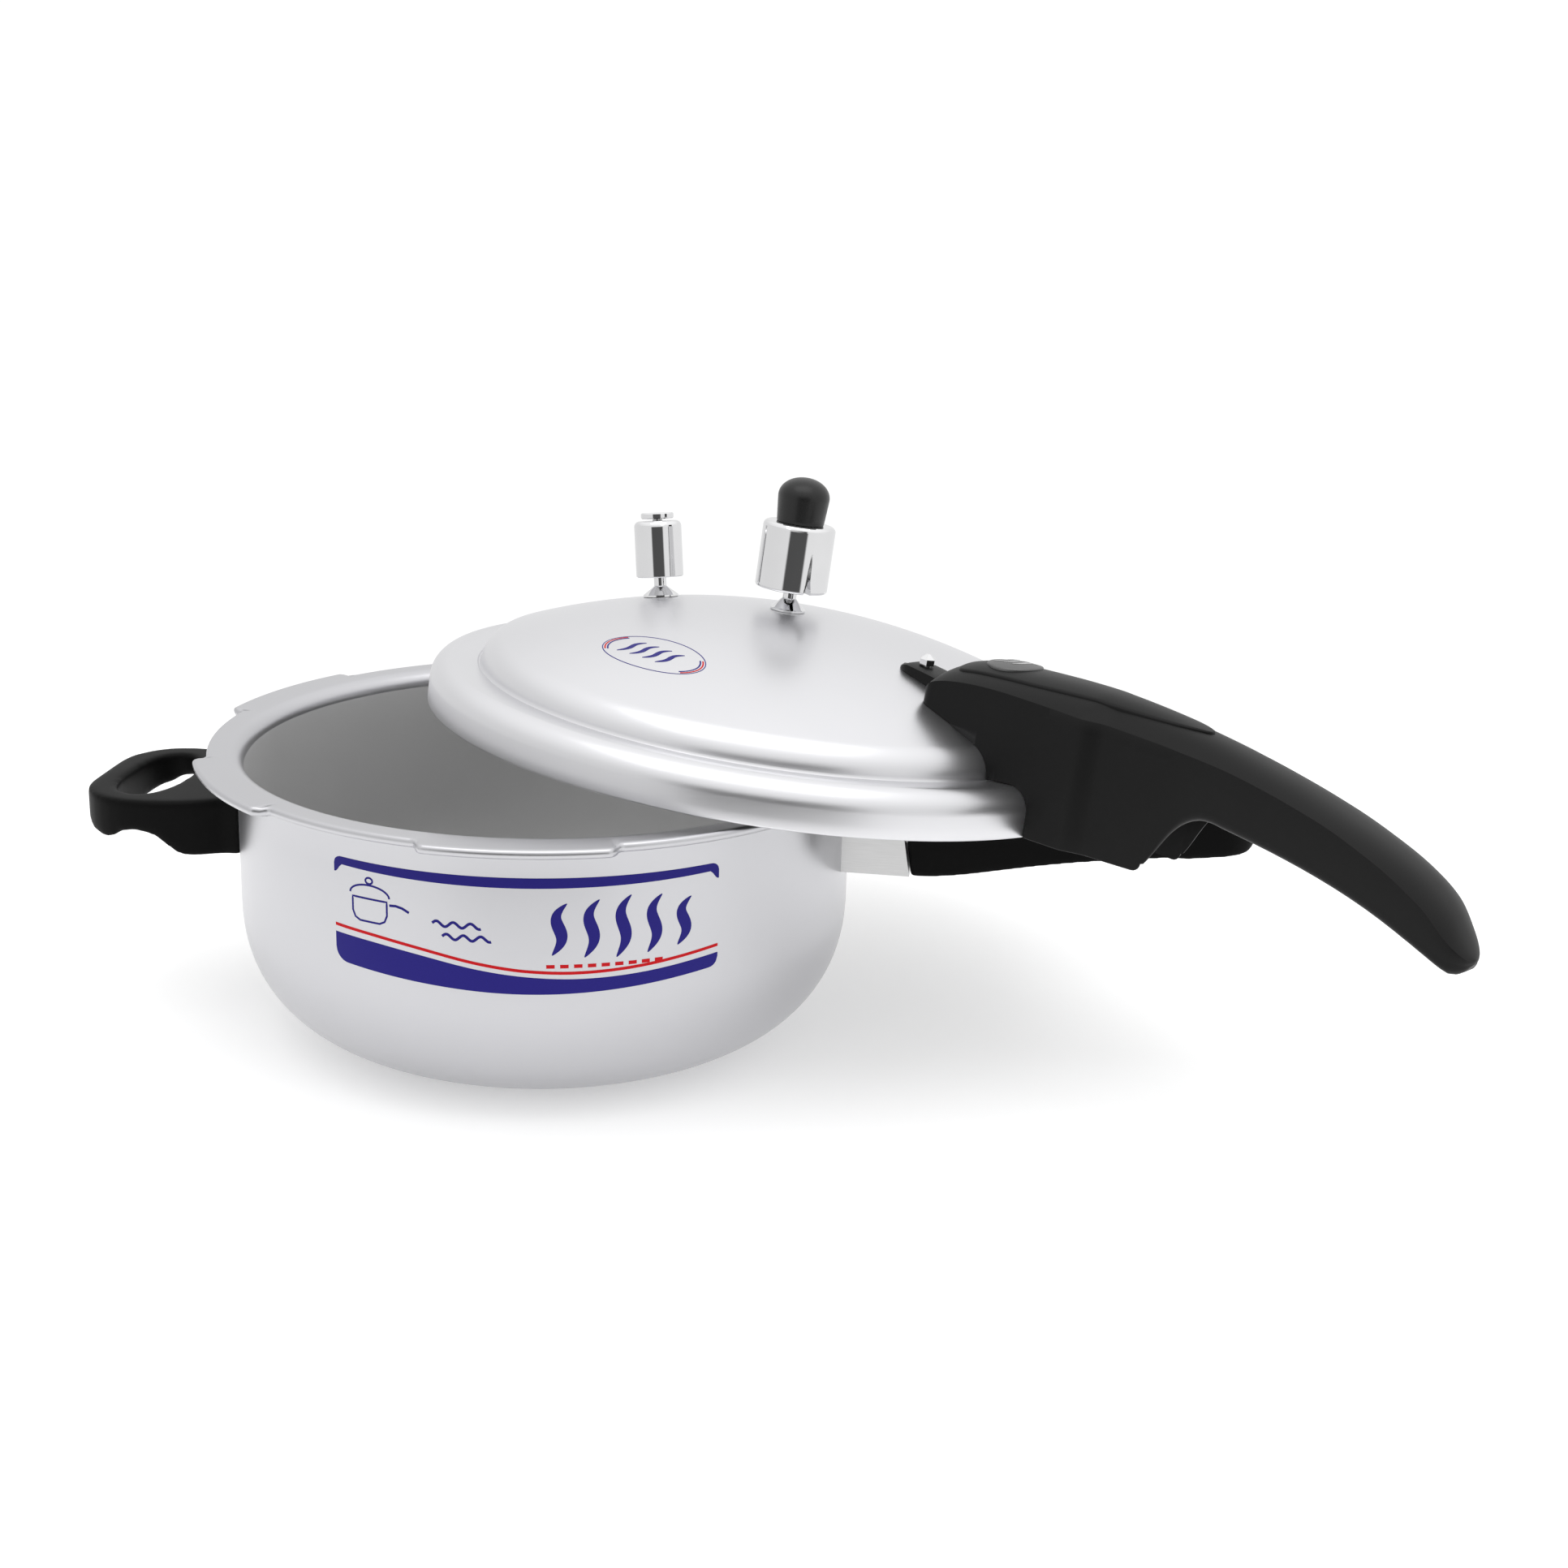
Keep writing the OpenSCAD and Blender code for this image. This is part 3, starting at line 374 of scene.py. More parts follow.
def smooth(points, x):  # the same, rounded through its points
    if x <= points[0][0]:
        return points[0][1]
    if x >= points[-1][0]:
        return points[-1][1]
    i = max(k for k in range(len(points) - 1) if points[k][0] <= x)
    p = [points[max(i - 1, 0)], points[i], points[i + 1], points[min(i + 2, len(points) - 1)]]
    h = p[2][0] - p[1][0]
    t = (x - p[1][0]) / h
    m1 = (p[2][1] - p[0][1]) / (p[2][0] - p[0][0]) * h
    m2 = (p[3][1] - p[1][1]) / (p[3][0] - p[1][0]) * h
    return ((2 * t ** 3 - 3 * t * t + 1) * p[1][1] + (t ** 3 - 2 * t * t + t) * m1
            + (3 * t * t - 2 * t ** 3) * p[2][1] + (t ** 3 - t * t) * m2)


def step(a, b, x):
    t = min(1.0, max(0.0, (x - a) / (b - a)))
    return t * t * (3 - 2 * t)


def quarter(share):  # how far a rounded corner has fallen, from 0 at its start to 1 at its edge
    return 1 - math.sqrt(max(1 - min(share, 1) ** 2, 0))


def bridge(n, k, m, j):  # the quad between rings k and m of n points, at point j
    q = (j + 1) % n
    return (k * n + j, k * n + q, m * n + q, m * n + j)


def lathe(rowsAt, count, place, closed=False):
    # rowsAt(angle) lists (radius, height); place turns a point in mm into the model's metres
    verts, faces, tags = [], [], []
    rows = len(rowsAt(0.0))
    for k in range(count):
        a = 2 * math.pi * k / count
        for r, z in rowsAt(a):
            verts.append(place((r * math.cos(a), r * math.sin(a), z)))
    for k in range(count):
        n = (k + 1) % count
        for j in range(rows if closed else rows - 1):
            m = (j + 1) % rows
            faces.append((k * rows + j, n * rows + j, n * rows + m, k * rows + m))
            tags.append(j)
    return verts, faces, tags


def frameOf(axis):
    up = Vector(axis).normalized()
    aside = up.orthogonal().normalized()
    return up, aside, up.cross(aside)


def turned(name, rows, at, axis, mat, body, slot, nodes, count=96):
    # a turned piece: rows of (radius, height) in mm along axis from at
    up, aside, other = frameOf(axis)

    def place(p):
        return Vector(at) + (aside * p[0] + other * p[1] + up * p[2]) * mm

    verts, faces = lathe(lambda a: rows, count, place)[:2]
    weld(piece(name, verts, faces, [mat], body, slot, nodes, sharp=50))


def stationList(single, runs):  # places along a loft: single ones, and runs of (first, gap, count)
    out = set(single)
    for first, gap, count in runs:
        out.update(round(first + gap * i, 3) for i in range(count))
    return sorted(out)


def onPan(p):
    return Vector(p) * mm


lidTurn = {"lean": 27.1, "tilt": 7.17, "yaw": -32.0}
lidMatrix = (Matrix.Translation(lidPin)
             @ Matrix.Rotation(math.radians(lidTurn["lean"]), 4, "Z")
             @ Matrix.Rotation(math.radians(lidTurn["tilt"]), 4, "Y")
             @ Matrix.Rotation(math.radians(lidTurn["yaw"] - lidTurn["lean"]), 4, "Z"))


def onLid(p):
    return lidMatrix @ (Vector(p) * mm)


pan = {
    "radius": 115.0, "height": 109.5, "wall": 2.6, "base": 3.6,
    "foot": [(0, 0.35), (36, 0.35), (37, 0.25), (38, 0.02)],  # the foot ring it stands on
    "cornerW": 56.0, "cornerH": 53.0, "cornerSteps": 36, "squareness": 0.88,
    "wallRows": (70, 90), "neckW": 2.6, "neckH": 3.2, "neckDrop": 3.4, "neckDeg": (25, 50, 75),
    "rimR": 125.6, "rimT": 3.3, "edgeR": 1.45, "mouthFillet": 6.0,
    "lugs": 6, "lugR": 130.75, "lugDeg": 30.0, "lugStart": 38.5, "lugSoft": 1.1,
    "dent": 0.55,  # the pressed mark at each lug's end
    "around": 720,
}


def lugMask(p, a):  # 1 on a lug, 0 between lugs
    pitch = 360 / p["lugs"]
    off = (math.degrees(a) - p["lugStart"] + pitch / 2) % pitch - pitch / 2
    return 1 - step(p["lugDeg"] / 2 - p["lugSoft"], p["lugDeg"] / 2 + p["lugSoft"], abs(off))


def cornerRow(p, i, outer, width, height):  # one row of the squarish round from base to wall
    f = math.radians(90 * i / p["cornerSteps"])
    return (outer - width + width * math.sin(f) ** p["squareness"],
            p["cornerH"] - height * max(math.cos(f), 0) ** p["squareness"])


def panRows(p, a):  # from the middle of the foot, up the outside, over the rim, down the inside
    mask = lugMask(p, a)
    rim = p["rimR"] + (p["lugR"] - p["rimR"]) * mask
    dent = p["dent"] * (1 - abs(2 * mask - 1)) ** 1.5
    outer, inner, top = p["radius"], p["radius"] - p["wall"], p["height"]
    under, edge, fillet = top - p["rimT"], p["edgeR"], p["mouthFillet"]
    corners = range(1, p["cornerSteps"] + 1)
    rows = p["foot"] + [cornerRow(p, i, outer, p["cornerW"], p["cornerH"]) for i in corners]
    rows += [(outer, z) for z in (*p["wallRows"], under - p["neckDrop"])]
    for b in p["neckDeg"]:
        x, z = onCircle(1, b)
        rows.append((outer + p["neckW"] * (1 - x), under - p["neckDrop"] + p["neckH"] * z))
    rows += [(rim - 6.5, under - 0.15), (rim - 3, under - dent)]  # under the flange
    rows += arc(rim - edge, under + edge - dent * 0.4, edge, -90, 0, 5)
    rows += arc(rim - edge, top - edge - dent, edge, 0, 90, 6)
    rows += [(rim - 3.2, top - dent * 0.8), (rim - 5.5, top - dent * 0.2)]  # on the flange
    rows += arc(inner + fillet, top - fillet, fillet, 90, 180, 9)
    rows += [(inner, top - 9), (inner, 80)]
    rows += [cornerRow(p, i, inner, p["cornerW"] - p["wall"], p["cornerH"] - p["base"])
             for i in reversed(corners)]
    return rows + [(25, p["base"]), (0, p["base"])]


verts, faces, tags = lathe(lambda a: panRows(pan, a), pan["around"], onPan)
mouthZ = pan["height"] - pan["mouthFillet"] - 1
innerFrom = max(i for i, row in enumerate(panRows(pan, 0.0)) if row[1] > mouthZ)
weld(piece("panWall", verts, faces, [panOutside, panInside], "pan", "pan_aluminium", ["pan_body"],
           [1 if tag >= innerFrom else 0 for tag in tags]))
print("pan made")

lid = {
    "radius": 133.97, "inner": 131.4, "sheet": 2.6, "skirt": 8.7, "bend": 8.6,
    "edgeR": 0.8, "edgeZ": 4.5,
    "creaseR": 115.8, "creaseZ": 16.37, "domeBend": 11.6, "domeH": 48.9, "capR": 278.95,
    # the crease, out and up from (creaseR, creaseZ)
    "crease": [(4, 0.18), (1.1, 0.06), (0.75, -0.05), (0.4, -0.4), (0.05, -0.4)],
    "lugs": 6, "lugDeg": 26.0, "lugStart": 30.0, "lugSoft": 0.7, "lugR": 126.9, "lugT": 2.6,
    "lugEdge": 0.4, "around": 540,
}
lid["footR"] = lid["creaseR"] - 0.5
lid["bendR"] = lid["footR"] - lid["domeBend"]
lid["bendFrom"] = lid["radius"] - lid["bend"]
lid["capZ"] = lid["domeH"] - lid["capR"]
lid["capDeg"] = math.degrees(math.atan2(lid["creaseZ"] - lid["capZ"], lid["bendR"]))


def domeZ(r):
    return lid["capZ"] + math.sqrt(lid["capR"] ** 2 - r * r)


def lidRows(p, a):  # one closed ring: up the skirt, over the dome, back under the sheet to the lugs
    inner = p["inner"] - (p["inner"] - p["lugR"]) * lugMask(p, a)
    edge, soft, t = p["edgeR"], p["lugEdge"], p["sheet"]
    rows = [(inner + soft, 0.0), (p["radius"] - 0.9, 0.0)]
    rows += arc(p["radius"] - edge, edge, edge, -60, 0, 3)
    rows += [(p["radius"], p["edgeZ"])]
    rows += arc(p["bendFrom"], p["skirt"], p["bend"], 0, 80, 14)
    rows += [(p["creaseR"] + x, p["creaseZ"] + z) for x, z in p["crease"]]
    rows += [(p["footR"], p["creaseZ"] + 0.3)]
    rows += arc(p["bendR"], p["creaseZ"], p["domeBend"], 6, p["capDeg"], 18)
    rows += arc(0, p["capZ"], p["capR"], p["capDeg"], 90, 32)[1:]
    rows += arc(0, p["capZ"], p["capR"] - t, 90, p["capDeg"], 24)
    rows += arc(p["bendR"], p["creaseZ"], p["domeBend"] - t, p["capDeg"], 4, 10)
    rows += [(p["footR"] - t, p["creaseZ"] - t)]
    rows += arc(p["bendFrom"], p["skirt"], p["bend"] - t, 80, 0, 8)
    return rows + [(p["inner"], p["lugT"] + soft), (inner + 0.3, p["lugT"]),
                   (inner, p["lugT"] - soft), (inner, soft)]


verts, faces, tags = lathe(lambda a: lidRows(lid, a), lid["around"], onLid, closed=True)
lidList = lidRows(lid, 0.0)
insideFrom = next(i for i, row in enumerate(lidList) if row[1] > lid["domeH"] - 0.01)
weld(piece("lidDome", verts, faces, [lidOutside, lidInside], "lid", "lid_aluminium", ["lid_shell"],
           [1 if insideFrom <= tag < len(lidList) - 1 else 0 for tag in tags]))
print("lid made")


def loft(name, stations, section, mat, nodes=(), sharp=50):
    # a piece of the lid handle: section(s) gives one ring of (sideways, height) at each station s
    verts, faces = [], []
    rings = [section(s) for s in stations]
    n = len(rings[0])
    last = len(stations) - 1
    for s, ring in zip(stations, rings):
        verts += [onLid((s, l, z)) for l, z in ring]
    for k in range(last):
        faces += [bridge(n, k, k + 1, j) for j in range(n)]
    for k in (0, last):
        mid = len(verts)
        verts.append(onLid((stations[k], 0, sum(z for l, z in rings[k]) / n)))
        for j in range(n):
            m = (j + 1) % n
            faces.append((k * n + m, k * n + j, mid) if k == 0 else (k * n + j, k * n + m, mid))
    weld(piece(name, verts, faces, [mat], "lid", "black_bakelite", nodes, sharp=sharp), 0.00002)


def barSection(half, crown, seam, foot, lower, corner, power, under):
    # one closed ring: over the crown, round the seam, down the flank, round the lower corner, back;
    # where the piece runs thin, the seam stays above the foot and the corner shrinks with it
    seam = max(seam, foot + 0.4)
    crown = max(crown, seam + 0.05)
    corner = min(corner, (seam - foot) * 0.45, lower * 0.6)
    side = []
    for a in spread(12, 0, 90):
        u = math.sin(math.radians(a))
        side.append((half * u, crown - (crown - seam) * u ** power))
    for i in range(1, 9):
        t = i / 9
        side.append((half + (lower - half) * t + 0.2 * math.sin(math.pi * t),
                     seam + (foot + corner - seam) * t))
    side += arc(lower - corner, foot + corner, corner, 0, -90, 5)
    side += [((lower - corner) * (1 - i / 5), foot) for i in range(1, 6)]
    ring = side[:-1] + [(-l, z) for l, z in reversed(side[1:])]
    return [(l, max(z, under(l))) for l, z in ring]


lidGrip = {  # along: mm from the lid's axis; heights: mm above the lid's foot plane
    "from": 80.0, "reach": 293.8, "nose": 4.0, "gap": 0.1, "crownPower": 2.3,
    "half": 20.1, "gripHalf": 15.6, "waist": 0.9, "waistOver": (160.0, 200.0),
    "blockEnd": (146.0, 157.0), "tailFrom": 262.0, "tailPower": 3.2, "leastHalf": 1.2,
    "tuck": 2.2, "tuckOver": (150, 190), "corner": 0.8, "gripCorner": 3.0, "cornerOver": (176, 196),
    "crown": [(80, 44.5), (82, 47.3), (86, 50.2), (95.7, 52.9), (106.3, 53.9), (120.2, 54.6),
              (134, 55.0), (147.5, 54.9), (161, 54.1), (174.3, 52.8), (187.6, 51.0), (200.7, 48.7),
              (213.7, 46.0), (226.5, 43.0), (239.3, 39.4), (252, 35.3), (264.7, 30.4), (275, 24.9),
              (284, 17.4), (289.6, 10.2), (293.0, 5.6), (293.8, 4.6)],
    "seam": [(80, 41.0), (84, 44.6), (95, 47.2), (110, 48.3), (130, 48.0), (143, 47.4), (160, 46.7),
             (180, 45.6), (207.5, 42.8), (238, 36.4), (256, 30.4), (268, 25.2), (279, 18.6),
             (287, 10.6), (293.8, 4.0)],
    "leg": (80, 174, 3),  # from, to, corner radius
    "arch": [(178, 3.4), (184, 12), (186, 27), (203, 23)],
    "belly": [(203, 23), (232, 19.4), (262, 14), (285.8, 0.3)],
    "tip": [(288.2, -0.8), (290.4, -0.6), (292.4, 0.9), (293.8, 3.4)],
    "single": [80, 80.3, 80.8, 81.5, 82.3, 83.2, 84.2, 174, 174.9, 175.8, 176.4, 176.8, 177, 177.6,
               178, 178.4, 292.7, 293.2, 293.6, 293.8],
    "runs": [(85, 1.5, 14), (106, 0.8, 20), (122, 1.2, 7), (130.5, 0.35, 14), (136, 1.4, 27),
             (179, 1.0, 26), (206, 2.0, 28), (262, 1.2, 20), (286, 0.7, 10)],
}
legFrom, legTo, legCorner = lidGrip["leg"]
gripFoot = ([(legFrom, 0), (legTo, 0)] + arc(legTo, legCorner, legCorner, -72, 0, 5)
            + bez(*lidGrip["arch"], 14) + bez(*lidGrip["belly"], 14)[1:] + lidGrip["tip"])


def lidSurface(r):  # the top of the lid, and the gap that the handle keeps from it
    gap = lidGrip["gap"]
    if r > lid["radius"] + gap:
        return -100.0
    if r > lid["bendFrom"]:
        bend = (lid["bend"] + gap) ** 2 - (r - lid["bendFrom"]) ** 2
        return lid["skirt"] + math.sqrt(max(bend, 0)) + 0.02
    if r > lid["footR"]:
        return lid["creaseZ"] + gap + 0.75 * step(lid["creaseR"], lid["bendFrom"], r)
    if r > lid["bendR"] + 1:
        bend = (lid["domeBend"] + gap) ** 2 - (r - lid["bendR"]) ** 2
        return lid["creaseZ"] + math.sqrt(max(bend, 0))
    return domeZ(r) + gap


def gripHalf(s):
    g = lidGrip
    w = g["half"] + (g["gripHalf"] + g["waist"] - g["half"]) * step(*g["blockEnd"], s)
    w -= g["waist"] * step(*g["waistOver"], s)
    if s < g["from"] + g["nose"]:
        w -= g["nose"] * quarter((g["from"] + g["nose"] - s) / g["nose"])
    if s > g["tailFrom"]:
        t = (s - g["tailFrom"]) / (g["reach"] - g["tailFrom"])
        w *= max(1 - t ** g["tailPower"], 0.0) ** 0.5
    return max(w, g["leastHalf"])


def crownZ(s, l, half):
    crown, seam = smooth(lidGrip["crown"], s), smooth(lidGrip["seam"], s)
    return crown - (crown - seam) * min(abs(l) / half, 1.0) ** lidGrip["crownPower"]


def gripTop(s, l):
    return crownZ(s, l, gripHalf(s))


hollow = {  # under the block and the arch
    "roof": [(152, -90), (153, 3), (157, 22), (166, 31), (200, 33.5), (222, 30), (234, 21),
             (235, -90)],
    "share": 0.80, "gripShare": 0.56, "shareOver": (176, 190),
}


def gripUnder(s, l):  # no part of the underside is below the lid's sheet or the hollow's roof
    h = hollow
    share = h["share"] + (h["gripShare"] - h["share"]) * step(*h["shareOver"], s)
    roof = along(h["roof"], s) if abs(l) < share * gripHalf(s) else h["roof"][0][1]
    return max(lidSurface(math.hypot(s, l)), roof)


def gripSection(s):
    g = lidGrip
    w = gripHalf(s)
    tuck = g["tuck"] * step(*g["tuckOver"], s) * min(w / 15, 1)
    corner = g["corner"] + g["gripCorner"] * step(*g["cornerOver"], s)
    return barSection(w, smooth(g["crown"], s), smooth(g["seam"], s), along(gripFoot, s),
                      w - tuck, corner, g["crownPower"], lambda l: gripUnder(s, l))


loft("lidGrip", stationList(lidGrip["single"], lidGrip["runs"]), gripSection, handleBlack,
     ["lid_handle"])

tongue = {
    "tip": 57.0, "half": 7.0, "lift": 2.6, "edge": 0.5, "rise": 2.2, "riseOver": 6.0, "slope": 0.12,
    "sink": 3.0, "gap": 0.1,
    "single": [57, 57.3, 57.8, 58.5, 59.5, 61, 62.5, 64], "runs": [(66, 2, 10)],
}


def tongueSection(s):
    t = tongue
    off = max(t["half"] - (s - t["tip"]), 0)
    w = math.sqrt(max(t["half"] ** 2 - off * off, 0.3))
    rise = t["rise"] * step(t["tip"], t["tip"] + t["riseOver"], s) + t["slope"] * (s - t["tip"])
    top = min(domeZ(t["tip"]) + t["lift"], domeZ(s) + t["edge"] + rise)
    return barSection(w, top, top - t["edge"], domeZ(s) - t["sink"], w, 0.2, 3.0,
                      lambda l: domeZ(math.hypot(s, l)) + t["gap"])


loft("lidTongue", stationList(tongue["single"], tongue["runs"]), tongueSection, handleBlack)

cover = {
    "from": 88.0, "length": 100.0, "proud": 0.75, "edge": 0.7, "depth": 0.8,
    "flare": 0.6, "narrowOver": (128, 180),
    "width": [(0, 10.0), (2.0, 12.8), (5, 14.0), (30, 14.0), (46, 13.0), (60, 11.6), (76, 9.6),
              (88, 7.2), (95, 4.6), (99, 2.2), (100, 0.8)],
    "single": [88, 88.15, 88.4, 88.7, 89.2, 90, 91, 92, 93.5,
               184.5, 185.8, 186.6, 187.2, 187.6, 187.9, 188],
    "runs": [(95, 1.6, 56)],
}


def coverTop(s, l):  # the crown without the step where block becomes grip
    g = lidGrip
    half = g["half"] + (g["gripHalf"] + cover["flare"] - g["half"]) * step(*cover["narrowOver"], s)
    return max(gripTop(s, l), crownZ(s, l, half))


def coverSection(s):
    c = cover
    d, e = s - c["from"], c["edge"]
    w = smooth(c["width"], d)
    ends = max(e - d, d - (c["length"] - e), 0) / e
    ring = []
    for a in spread(24, -90, 90):
        l = w * math.sin(math.radians(a))
        drop = e * quarter(max(abs(l) - (w - e), 0) / e) + e * min(ends, 1) ** 2
        ring.append((l, coverTop(s, l) + c["proud"] - drop))
    return ring + [(l * 0.99, gripTop(s, l) - c["depth"]) for l, z in reversed(ring)]


loft("lidPlate", stationList(cover["single"], cover["runs"]), coverSection, handleBlack,
     ["lid_handle_cover"], 60)
print("lid handle made")

helper = {"lift": 3.6, "from": -162.0, "to": -136.0, "soft": 8.0, "bar": 9.0, "barSoft": 3.0,
          "deepen": 1.6, "voxel": 0.0009, "rounds": 22}
panGrip = {"voxel": 0.0008, "rounds": 16}


def thinFarBar(p, low, high):  # from below, so that light comes up through the loop
    h = helper
    x, y = p.x / mm, p.y / mm
    mask = (step(h["from"] - h["soft"], h["from"], x) * (1 - step(h["to"] - h["soft"], h["to"], x))
            * step(h["bar"] - h["barSoft"], h["bar"] + h["barSoft"], y))
    deep = min(1.0, max(0.0, (high.z - p.z) / (high.z - low.z) * h["deepen"]))
    p.z += h["lift"] * mm * mask * deep


def softCopy(name, node, mat, c, move=None):
    # a moulded copy of a plain solid: even quads, then its edges eased
    obj = bpy.data.objects.new(name, frame["nodes"][node].data.copy())
    bpy.context.scene.collection.objects.link(obj)
    obj.data.materials.clear()
    obj.data.materials.append(mat)
    remesh = obj.modifiers.new("even", "REMESH")
    remesh.mode = "VOXEL"
    remesh.voxel_size = c["voxel"]
    remesh.use_smooth_shade = True
    ease = obj.modifiers.new("ease", "SMOOTH")
    ease.factor = 0.5
    ease.iterations = c["rounds"]
    graph = bpy.context.evaluated_depsgraph_get()
    made = bpy.data.meshes.new_from_object(obj.evaluated_get(graph))
    obj.modifiers.clear()
    obj.data = made
    for poly in made.polygons:
        poly.use_smooth = True
    if move:
        low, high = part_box(node)
        for v in made.vertices:
            move(v.co, low, high)
    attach(obj, "pan")
    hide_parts(node)


softCopy("helperLoop", "helper_handle", lowerBlack, helper, thinFarBar)
softCopy("panGrip", "pan_handle", lowerBlack, panGrip)
print("helper and long handle made")

knob = {"foot": 9.15, "edge": 0.5, "bevel": 0.12, "belly": 10.0, "bellyUp": 10.4, "swell": 0.9,
        "join": 0.4, "top": 17.55, "dome": 2.05, "fromFoot": 34.3}


def knobRows(k):
    foot, edge, join = k["foot"], k["edge"], k["bellyUp"] - k["join"]
    rows = [(0, 0), (foot - edge, 0), (foot - k["bevel"], k["bevel"]), (foot, edge)]
    for i in range(1, 10):
        f = i / 9
        rows.append((foot + (k["belly"] - foot) * f ** k["swell"], edge + (join - edge) * f))
    tall, power = k["top"] - join, 2 / k["dome"]
    for b in spread(24, 0, 90)[1:]:
        x, z = onCircle(1, b)
        rows.append((k["belly"] * max(x, 0) ** power, join + tall * z ** power))
    return rows


vent = joints["weight_spin"]
ventAxis = Vector(vent["axis"]).normalized()
turned("weightKnob", knobRows(knob), Vector(vent["pos_m"]) + ventAxis * knob["fromFoot"] * mm,
       ventAxis, knobBlack, "weight", "black_knob", ["weight_knob"])
print("weight knob made")

coil = {"radius": 3.7, "wire": 0.45, "low": 14.8, "high": 26.9, "turns": 6, "flatEnd": 0.08,
        "fromAxis": 60.5, "side": 187.0, "keep": 0.765, "perTurn": 40, "around": 10}


def coilSpring(c):  # the spring in the safety valve
    up, aside, other = frameOf(joints["safety_lift"]["axis"])
    foot = onLid((*onCircle(c["fromAxis"], c["side"]), domeZ(c["fromAxis"])))
    steps, n = c["turns"] * c["perTurn"], c["around"]
    verts, faces = [], []
    for i in range(steps + 1):
        a = 2 * math.pi * c["turns"] * i / steps
        rise = min(max((i / steps - c["flatEnd"]) / (1 - 2 * c["flatEnd"]), 0), 1)
        out = aside * math.cos(a) + other * math.sin(a)
        for k in range(n):
            x, z = onCircle(c["wire"], 360 * k / n)
            z += c["low"] + (c["high"] - c["low"]) * rise
            verts.append(foot + (out * (c["radius"] + x) + up * z) * mm)
    for i in range(steps):
        faces += [bridge(n, i, i + 1, k) for k in range(n)]
    faces.append(tuple(reversed(range(n))))
    faces.append(tuple(steps * n + k for k in range(n)))
    obj = weld(piece("caseSpring", verts, faces, [wireSteel], "lid", "spring_steel",
                     ["safety_spring"]), 0.000001)
    foot + up * (c["high"] + c["wire"]) * mm
    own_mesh(obj)
    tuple(up)


coilSpring(coil)
print("spring made")

badge = {"s": 105.0, "radius": 10.2, "proud": 0.4, "dome": 0.9, "depth": 2.0, "edge": 0.5,
         "under": 0.6, "reach": 8.0, "rings": 16, "around": 96}


def badgeZ(u, v):  # half as bent as the plate round it, and slightly domed
    b = badge
    s, reach = b["s"], b["reach"]
    flat = gripTop(s, 0) + u * (gripTop(s + reach, 0) - gripTop(s - reach, 0)) / (2 * reach)
    domed = b["dome"] * (1 - (u * u + v * v) / b["radius"] ** 2)
    return 0.5 * flat + 0.5 * gripTop(s + u, v) + cover["proud"] + b["proud"] + domed


def badgePoint(p):
    u, v, drop = p
    return onLid((badge["s"] + u, v, badgeZ(u, v) - drop))


def badgeRows(b):
    r, edge, under = b["radius"], b["edge"], b["depth"] + b["under"]
    rows = [(r * i / b["rings"], 0.0) for i in range(b["rings"] - 1)]
    for a in (0, 20, 40, 60, 80, 90):
        x, z = onCircle(1, a)
        rows.append((r - edge * (1 - z), edge * (1 - x)))
    return rows + [(r, b["depth"]), (r - 1, under), (0, under)]


verts, faces = lathe(lambda a: badgeRows(badge), badge["around"], badgePoint)[:2]
weld(piece("gripBadge", verts, faces, [badgeGrey], "lid", "badge_metal", ["handle_badge"],
           sharp=50))
print("badge made")

wallPrint = {"centre": -81.0, "reach": 70.0, "lift": 0.06, "sink": 0.02}


def onWall(u, v, side):  # u round the wall, v above the base; side 1 is the ink's face
    r = pan["radius"] + (wallPrint["lift"] if side else -wallPrint["sink"])
    a = math.radians(wallPrint["centre"]) + u / pan["radius"]
    return onPan((r * math.cos(a), r * math.sin(a), v))


ovalMark = {"s": 0.0, "l": -76.0, "wide": 23.0, "tall": 11.6, "line": 0.35,
            "arcLine": 0.6, "arcs": [(1.1, inkRed), (2.3, inkBlue)], "arcTall": 0.55, "arcDeg": 32,
            "curls": (-10.8, -4.5, 1.8, 8.1), "curl": (-2.6, -5.2, 10.2, 1.3, 1.9)}


def onDomeTop(u, v, side):
    s, l = ovalMark["s"] + u, ovalMark["l"] + v
    height = wallPrint["lift"] if side else -wallPrint["sink"]
    return onLid((s, l, domeZ(math.hypot(s, l)) + height))


badgeMark = {"lift": 0.14, "sink": 0.1, "curls": (-4.6, -0.8, 3.0),
             "curl": (-1.8, -4.6, 9.2, 0.9, 1.3)}


def onBadge(u, v, side):
    return badgePoint((u, v, -badgeMark["lift"] if side else badgeMark["sink"]))


panPrint = (onWall, "pan", "pan_aluminium")
lidPrint = (onDomeTop, "lid", "lid_aluminium")
badgePrint = (onBadge, "lid", "badge_metal")


def ribbon(name, rows, mat, across=5):
    # rows of (u, low, high): a thin closed strip on the pan's wall
    place, body, slot = panPrint
    verts, faces = [], []
    n = 2 * (across + 1)
    for u, low, high in rows:
        for side in (1, 0):
            for j in range(across + 1):
                v = low + (high - low) * (j / across if side else 1 - j / across)
                verts.append(place(u, v, side))
    for k in range(len(rows) - 1):
        faces += [bridge(n, k, k + 1, j) for j in range(n)]
    faces.append(tuple(range(n)))
    faces.append(tuple(reversed(range((len(rows) - 1) * n, len(rows) * n))))
    return piece(name, verts, faces, [mat], body, slot, sharp=60)


